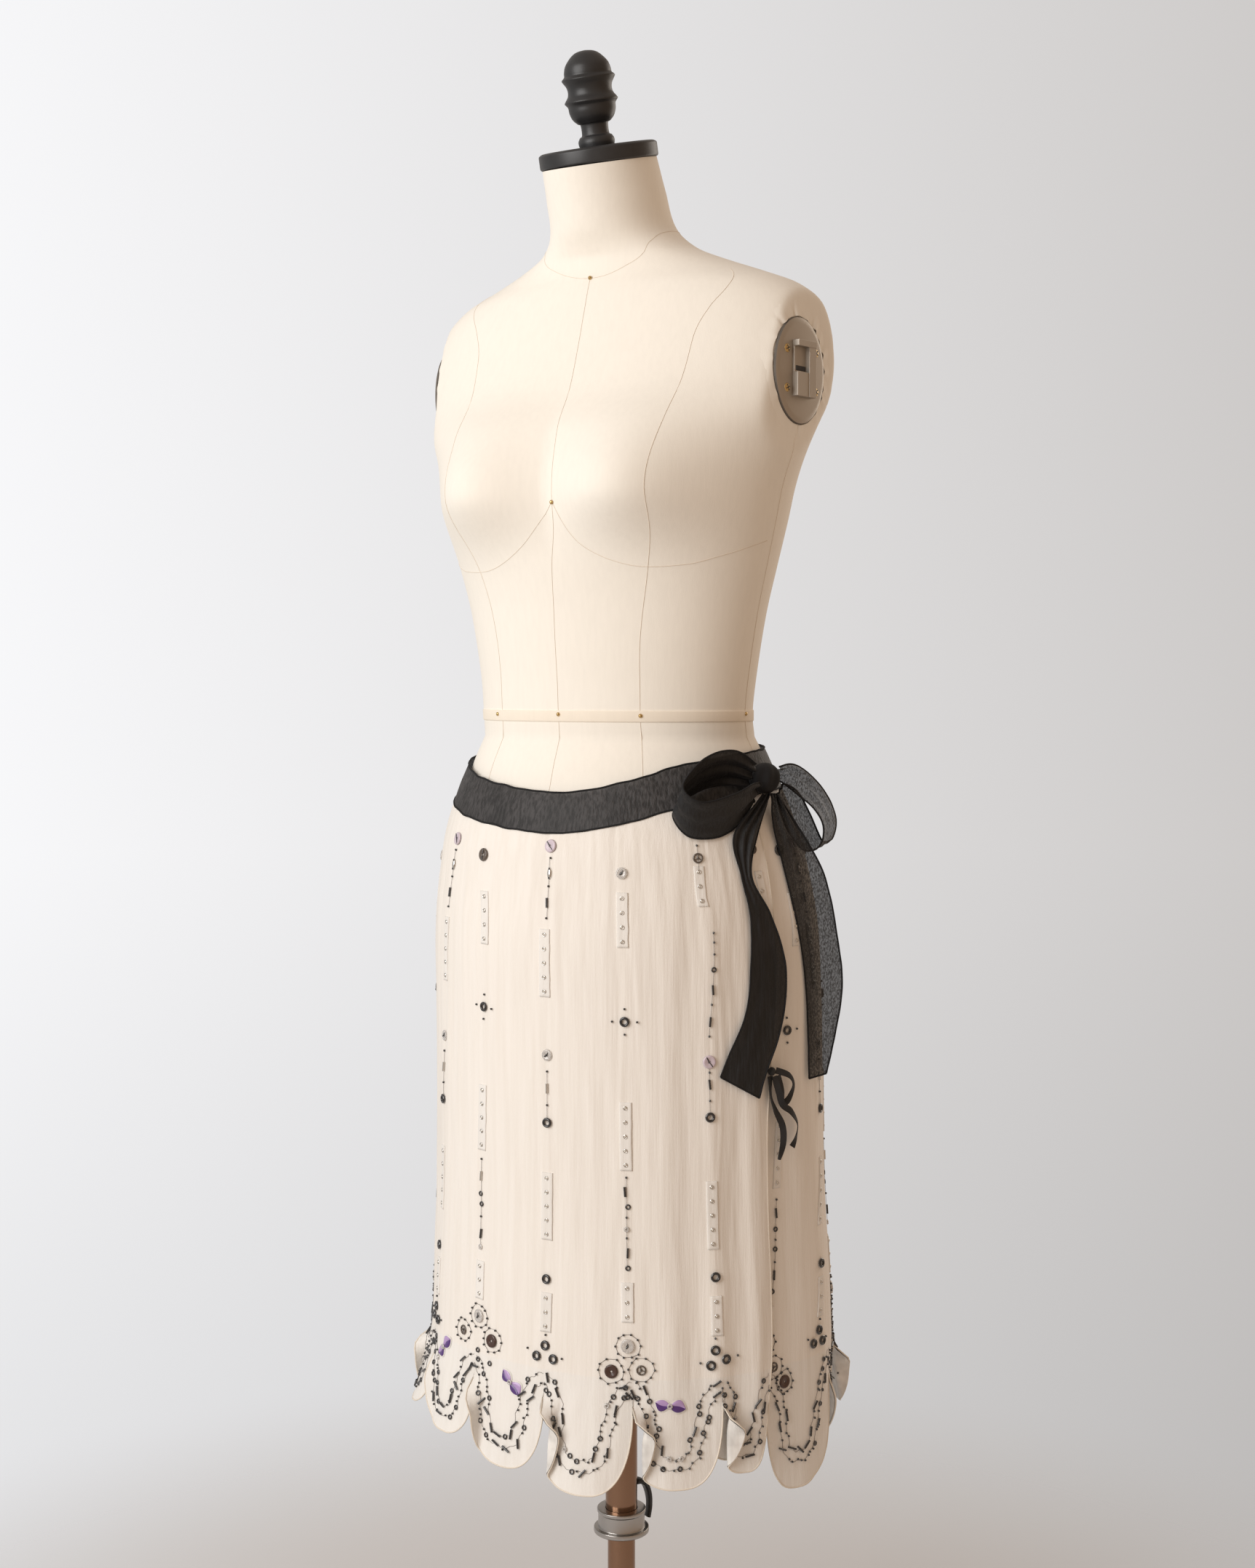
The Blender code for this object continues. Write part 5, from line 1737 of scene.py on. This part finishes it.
NECK_SEAM = (
    # angle, ring height
    (-180.0, 1.4440),
    (-140.0, 1.4330),
    (-110.0, 1.4130),
    (-88.0, 1.4000),
    (-70.0, 1.4110),
    (-40.0, 1.4330),
    (0.0, 1.4440),
    (90.0, 1.4440),
    (180.0, 1.4440),
)
TAPE_LOW_Z = 1.0140
TAPE_TOP_Z = 1.0238
PINS = (
    # angle, z
    (-126.4, 1.0200),
    (-90.8, 1.0205),
    (-56.8, 1.0195),
    (1.2, 1.0207),
    (60.0, 1.0200),
    (120.0, 1.0200),
    (178.0, 1.0200),
    (-88.0, 1.4002),
    (-86.9, 1.2005),
)


def add_form_trim(thread, tape, brass):
    """Seams, waist tape and pins of the cover."""
    seams = Shape()
    for rows in SEAMS:
        seams.tube([torso_point(angle, z, 0.00012) for angle, z in spline_rows(rows, 110)], 0.00022, sides=5)
    seams.tube([torso_point(angle, z, 0.00012) for angle, z in spline_rows(NECK_SEAM, 160)], 0.00022, sides=5)
    seams.build("cover_seams", thread)
    band = Shape()
    rows = []
    for z, lift in (
        (TAPE_TOP_Z, 0.0), (TAPE_TOP_Z - 0.0001, 0.0007), (TAPE_TOP_Z - 0.0010, 0.0009),
        (TAPE_LOW_Z + 0.0010, 0.0009), (TAPE_LOW_Z + 0.0001, 0.0007), (TAPE_LOW_Z, 0.0),
    ):
        rows.append([torso_point(angle, z, lift) for angle in spaced(-180.0, 180.0, 181)[:-1]])
    band.grid(rows, closed=True)
    band.build("waist_tape", tape)
    pins = Shape()
    for angle, z in PINS:
        point = torso_point(angle, z, 0.0010)
        round_way = torso_point(angle + 1.0, z, 0.0012) - point
        across = round_way.normalized()
        out = across.cross(UP).normalized()
        turn = Matrix((across, UP, out)).transposed()
        pins.ball(Matrix.Translation(point) @ turn.to_4x4(), 0.0019, 0, 12, 0.75)
    pins.build("brass_pins", brass)


GATHERS = (
    # direction round the plate in degrees, half angle, height, reach outwards
    (128.0, 2.0, -0.0011, 0.30),
    (122.0, 5.0, 0.0009, 0.34),
    (99.0, 1.8, -0.0014, 0.42),
    (93.0, 6.0, 0.0009, 0.40),
    (73.0, 3.0, 0.0006, 0.30),
    (58.0, 2.4, -0.0010, 0.42),
    (53.0, 4.0, 0.0016, 0.46),
    (38.0, 3.4, 0.0008, 0.34),
    (27.0, 2.0, -0.0009, 0.36),
    (22.0, 4.0, 0.0013, 0.40),
    (4.0, 3.0, 0.0011, 0.34),
    (-3.0, 1.6, -0.0008, 0.30),
    (-16.0, 3.6, 0.0008, 0.34),
    (-26.0, 3.0, 0.0010, 0.36),
    (-48.0, 4.0, 0.0005, 0.30),
    (-90.0, 1.2, -0.0008, 0.44),
    (-84.0, 4.0, 0.0005, 0.40),
    (148.0, 4.0, 0.0006, 0.30),
    (172.0, 4.0, 0.0005, 0.26),
    (-150.0, 5.0, 0.0005, 0.26),
)


def side_point(side, y, z, lift):
    """Point on the form's side at its own y and z, moved outward by lift."""
    half_width, half_depth, centre_y, _ = torso_section(z)
    share = min(1.0, abs(y - centre_y) / half_depth)
    x = half_width * math.sqrt(max(0.0, 1.0 - share * share))
    reach = SHOULDER_CLIP + (y - PLATE_Y) * math.tan(PLATE_TURN)
    return Vector((side * (soft_limit(x, reach, 0.004) + lift), y, z))


def add_gathers(name, side, linen):
    """Cover cloth drawn in round an arm plate, in small uneven pleats."""
    rows = []
    for share in spaced(0.0, 1.0, 16):
        points = []
        for k in range(240):
            turn = 1.5 * k
            way = math.radians(turn)
            grow = 1.012 + 0.34 * share
            y = PLATE_Y + 0.5 * PLATE_SIZE[1] * grow * math.cos(way)
            z = PLATE_Z + 0.5 * PLATE_SIZE[2] * grow * math.sin(way)
            lift = 0.0009 * (1.0 - share) ** 1.5 - 0.0003 * share
            for centre, half, height, reach in GATHERS:
                away = (turn - centre + 180.0) % 360.0 - 180.0
                if abs(away) < 3.0 * half:
                    fade = max(0.0, 1.0 - share * 0.36 / reach)
                    lift += 1.2 * height * fade * math.exp(-(away / (half * (1.0 + 0.5 * share))) ** 2)
            points.append(side_point(side, y, z, max(lift, -0.0003 * share)))
        rows.append(points)
    shape = Shape()
    shape.grid(rows, closed=True, flip=side > 0.0)
    shape.build(name, linen)


BRACKET = (
    # low and high corners across, up and out of the plate
    (0.0030, -0.0230, 0.0036, 0.0130, 0.0230, 0.0102),
    (-0.0130, -0.0230, 0.0036, 0.0034, -0.0025, 0.0096),
    (-0.0130, 0.0190, 0.0036, 0.0130, 0.0245, 0.0106),
    (-0.0130, -0.0029, 0.0036, 0.0034, 0.0194, 0.0058),
)
# Black block along the bracket's recessed slot: painted shade of the recess.
BRACKET_SLOT = (-0.0112, -0.0012, 0.0054, 0.0024, 0.0030, 0.0062)
SCREWS = ((-0.0205, 0.0165), (0.0205, 0.0165), (-0.0205, -0.0165), (0.0205, -0.0165))


def block(shape, place, corners, slot=0):
    """Box between two corners in a place, its faces apart so that each stays flat."""
    low, high = corners[:3], corners[3:]
    points = [
        place @ Vector((high[0] if i & 1 else low[0], high[1] if i & 2 else low[1], high[2] if i & 4 else low[2]))
        for i in range(8)
    ]
    first = len(shape.points)
    shape.points.extend(tuple(point) for point in points)
    for face in ((0, 2, 3, 1), (4, 5, 7, 6), (0, 1, 5, 4), (2, 6, 7, 3), (0, 4, 6, 2), (1, 3, 7, 5)):
        shape.faces.append(tuple(first + k for k in face))
        shape.slots.append(slot)


def add_bracket(name, side, steel, painted_recess_shade, brass):
    place = plate_place(side)
    shape = Shape()
    for corners in BRACKET:
        block(shape, place, corners)
    block(shape, place, BRACKET_SLOT, 1)
    item = shape.build(name, steel, painted_recess_shade, smooth=False)
    bevel = item.modifiers.new("bevel", "BEVEL")
    bevel.width = 0.0006
    bevel.segments = 2
    screws = Shape()
    for across, up in SCREWS:
        here = place @ Matrix.Translation((across, up, 0.0034)) @ Matrix.Rotation(0.7 + 90.0 * across, 4, "Z")
        screws.lathe(here, ((0.0, 0.0016), (0.0018, 0.0015), (0.0032, 0.0010), (0.0038, 0.0004), (0.0038, 0.0)), 0, 20)
        # Black cross on each screw head: painted shade of its cross recess.
        block(screws, here, (-0.0026, -0.0004, 0.0010, 0.0026, 0.0004, 0.00168), 1)
        block(screws, here, (-0.0004, -0.0026, 0.0010, 0.0004, 0.0026, 0.00168), 1)
    screws.build(f"{name}_screws", brass, painted_recess_shade)


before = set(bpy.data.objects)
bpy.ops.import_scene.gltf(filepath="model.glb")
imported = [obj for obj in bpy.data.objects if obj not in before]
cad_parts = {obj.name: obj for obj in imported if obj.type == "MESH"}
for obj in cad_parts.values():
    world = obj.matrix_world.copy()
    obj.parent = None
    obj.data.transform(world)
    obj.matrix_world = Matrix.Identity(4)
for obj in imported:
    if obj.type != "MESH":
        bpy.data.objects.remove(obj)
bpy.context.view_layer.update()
add_camera()

tie_black = satin_paint("tie_cloth", (0.012, 0.012, 0.013), 0.7)
for tie_name, tie_node, tie_route, tie_twist in (
    ("tie_ribbon_loop", "side_tie_loop", SIDE_LOOP, 0.5),
    ("tie_ribbon_a", "side_tie_end_a", SIDE_END_A, 0.6),
    ("tie_ribbon_b", "side_tie_end_b", SIDE_END_B, -0.6),
):
    tie_piece, tie_path = add_tie(tie_name, tie_node, tie_route, tie_black, tie_twist)
tie_knot = add_knot(
    "tie_ribbon_knot", "side_tie_knot", *SIDE_KNOT,
    (SIDE_KNOT_RADIUS, SIDE_KNOT_RADIUS * 0.85, SIDE_KNOT_RADIUS * 1.1), tie_black, 4.0,
)

silk = crinkled_silk("crinkled_silk")
# Deep grey mottle on the hem facing: painted shade of the wrinkles and beads seen through the sheer layers.
silk_facing_painted_shade = crinkled_silk("silk_facing_painted_shade", lined=False, mottle=70.0, shade=0.74)
silk_edge = new_material("silk_rolled_edge", (0.80, 0.73, 0.63), 0.8)
slip_cloth = crinkled_silk("slip_cloth", lined=False)
chiffon = black_chiffon("black_chiffon", 0.915, (0.016, 0.016, 0.018))
chiffon_loop = black_chiffon("black_chiffon_loop", 0.985, (0.009, 0.009, 0.011))
chiffon_band = black_chiffon("black_chiffon_band", 0.965, (0.060, 0.056, 0.057))
chiffon_edge = satin_paint("chiffon_rolled_edge", (0.004, 0.004, 0.005), 0.9)
linen = woven_linen("cream_linen", (0.915, 0.870, 0.785))
black = satin_paint("satin_black", (0.018, 0.018, 0.019), 0.38)
# Copper colour on the steel pole and sleeve: painted reflection of the warm surroundings.
pole_steel_painted_reflection = polished_metal("polished_steel", (0.30, 0.175, 0.11), 0.17)
collar_steel = polished_metal("turned_steel", (0.46, 0.44, 0.42), 0.28)
plate_steel = polished_metal("plate_steel", (0.46, 0.415, 0.36), 0.5)
# Near-black finish for the plate's outer edge: painted shade of the gap round the plate.
plate_rim_painted_shade = satin_paint("plate_rim_painted_shade", (0.10, 0.085, 0.07), 0.7)

add_panel("front_panel_cloth", "skirt_front", FRONT_TONGUES, False, silk, silk_edge)
add_panel("back_panel_cloth", "skirt_back", BACK_TONGUES, True, silk, silk_edge)
add_facing("front_hem_facing", "hem_facing_front", FRONT_TONGUES, False, silk_facing_painted_shade)
add_facing("back_hem_facing", "hem_facing_back", BACK_TONGUES, True, silk_facing_painted_shade)
add_lining(slip_cloth)
add_waistband(chiffon_band, chiffon_edge)
add_ribbon("bow_loop_left", "bow_loop_front", FRONT_LOOP, 90, chiffon_loop, chiffon_edge, 0.4, 1.0)
add_ribbon("bow_loop_right", "bow_loop_back", BACK_LOOP, 90, chiffon, chiffon_edge, 1.7, 1.0)
add_ribbon("streamer_front", "tie_end_front", FRONT_END, 110, chiffon_loop, chiffon_edge, 2.2, 0.35)
add_ribbon("streamer_back", "tie_end_back", BACK_END, 110, chiffon, chiffon_edge, 3.1, 0.35)
add_knot("bow_centre", "bow_knot", KNOT_ANGLE, KNOT_Z, KNOT_OUT, KNOT_RADII, chiffon_edge)
add_torso(linen)
add_neck(black)
add_arm_plate("arm_oval_left", "arm_plate_left", 1.0, plate_steel, plate_rim_painted_shade)
add_arm_plate("arm_oval_right", "arm_plate_right", -1.0, plate_steel, plate_rim_painted_shade)
add_stand(pole_steel_painted_reflection, collar_steel, black)
add_lever(black)
thread_cloth = satin_paint("sewing_thread", (0.16, 0.14, 0.13), 0.7)
bead_finishes = (
    glass_bead("black_glass", (0.012, 0.012, 0.014), 0.12, Coat_Weight=1.0, Coat_Roughness=0.08),
    polished_metal("silver_metal", (0.72, 0.70, 0.67), 0.20),
    glass_bead("brown_shell", (0.060, 0.026, 0.018), 0.30, Coat_Weight=0.4),
    glass_bead("lilac_shell", (0.62, 0.53, 0.59), 0.35, Coat_Weight=0.4),
    glass_bead("clear_glass", (0.86, 0.84, 0.82), 0.06, Transmission_Weight=0.55, Coat_Weight=1.0),
    glass_bead("bronze_shell", (0.105, 0.080, 0.062), 0.28, Coat_Weight=0.6),
    # Lit and shaded copies of one purple satin: painted light and painted shade on the leaves' folded halves.
    glass_bead("purple_satin_painted_shade", (0.085, 0.030, 0.190), 0.28, Coat_Weight=0.5),
    glass_bead("purple_satin_painted_lit", (0.47, 0.32, 0.60), 0.30, Coat_Weight=0.5),
    glass_bead("pearl_shell", (0.80, 0.75, 0.66), 0.25, Coat_Weight=0.6),
    crinkled_silk("silk_strips", lined=False),
    thread_cloth,
)
add_beading("front_beading", FRONT_TONGUES, False, FRONT_COLUMNS, FRONT_TONGUES, FRONT_LEAVES, 4, bead_finishes)
add_beading("back_beading", BACK_TONGUES, True, BACK_COLUMNS, BACK_TONGUES[1:], BACK_LEAVES, 9, bead_finishes)
linen_thread = woven_linen("linen_thread", (0.76, 0.67, 0.56))
linen_tape = woven_linen("linen_tape", (0.90, 0.82, 0.70))
brass = polished_metal("brass", (0.62, 0.44, 0.20), 0.25)
add_form_trim(linen_thread, linen_tape, brass)
add_gathers("arm_gathers_left", 1.0, linen)
add_gathers("arm_gathers_right", -1.0, linen)
add_bracket("arm_bracket_left", 1.0, plate_steel, black, brass)
add_bracket("arm_bracket_right", -1.0, plate_steel, black, brass)
add_floor()
light_scene()
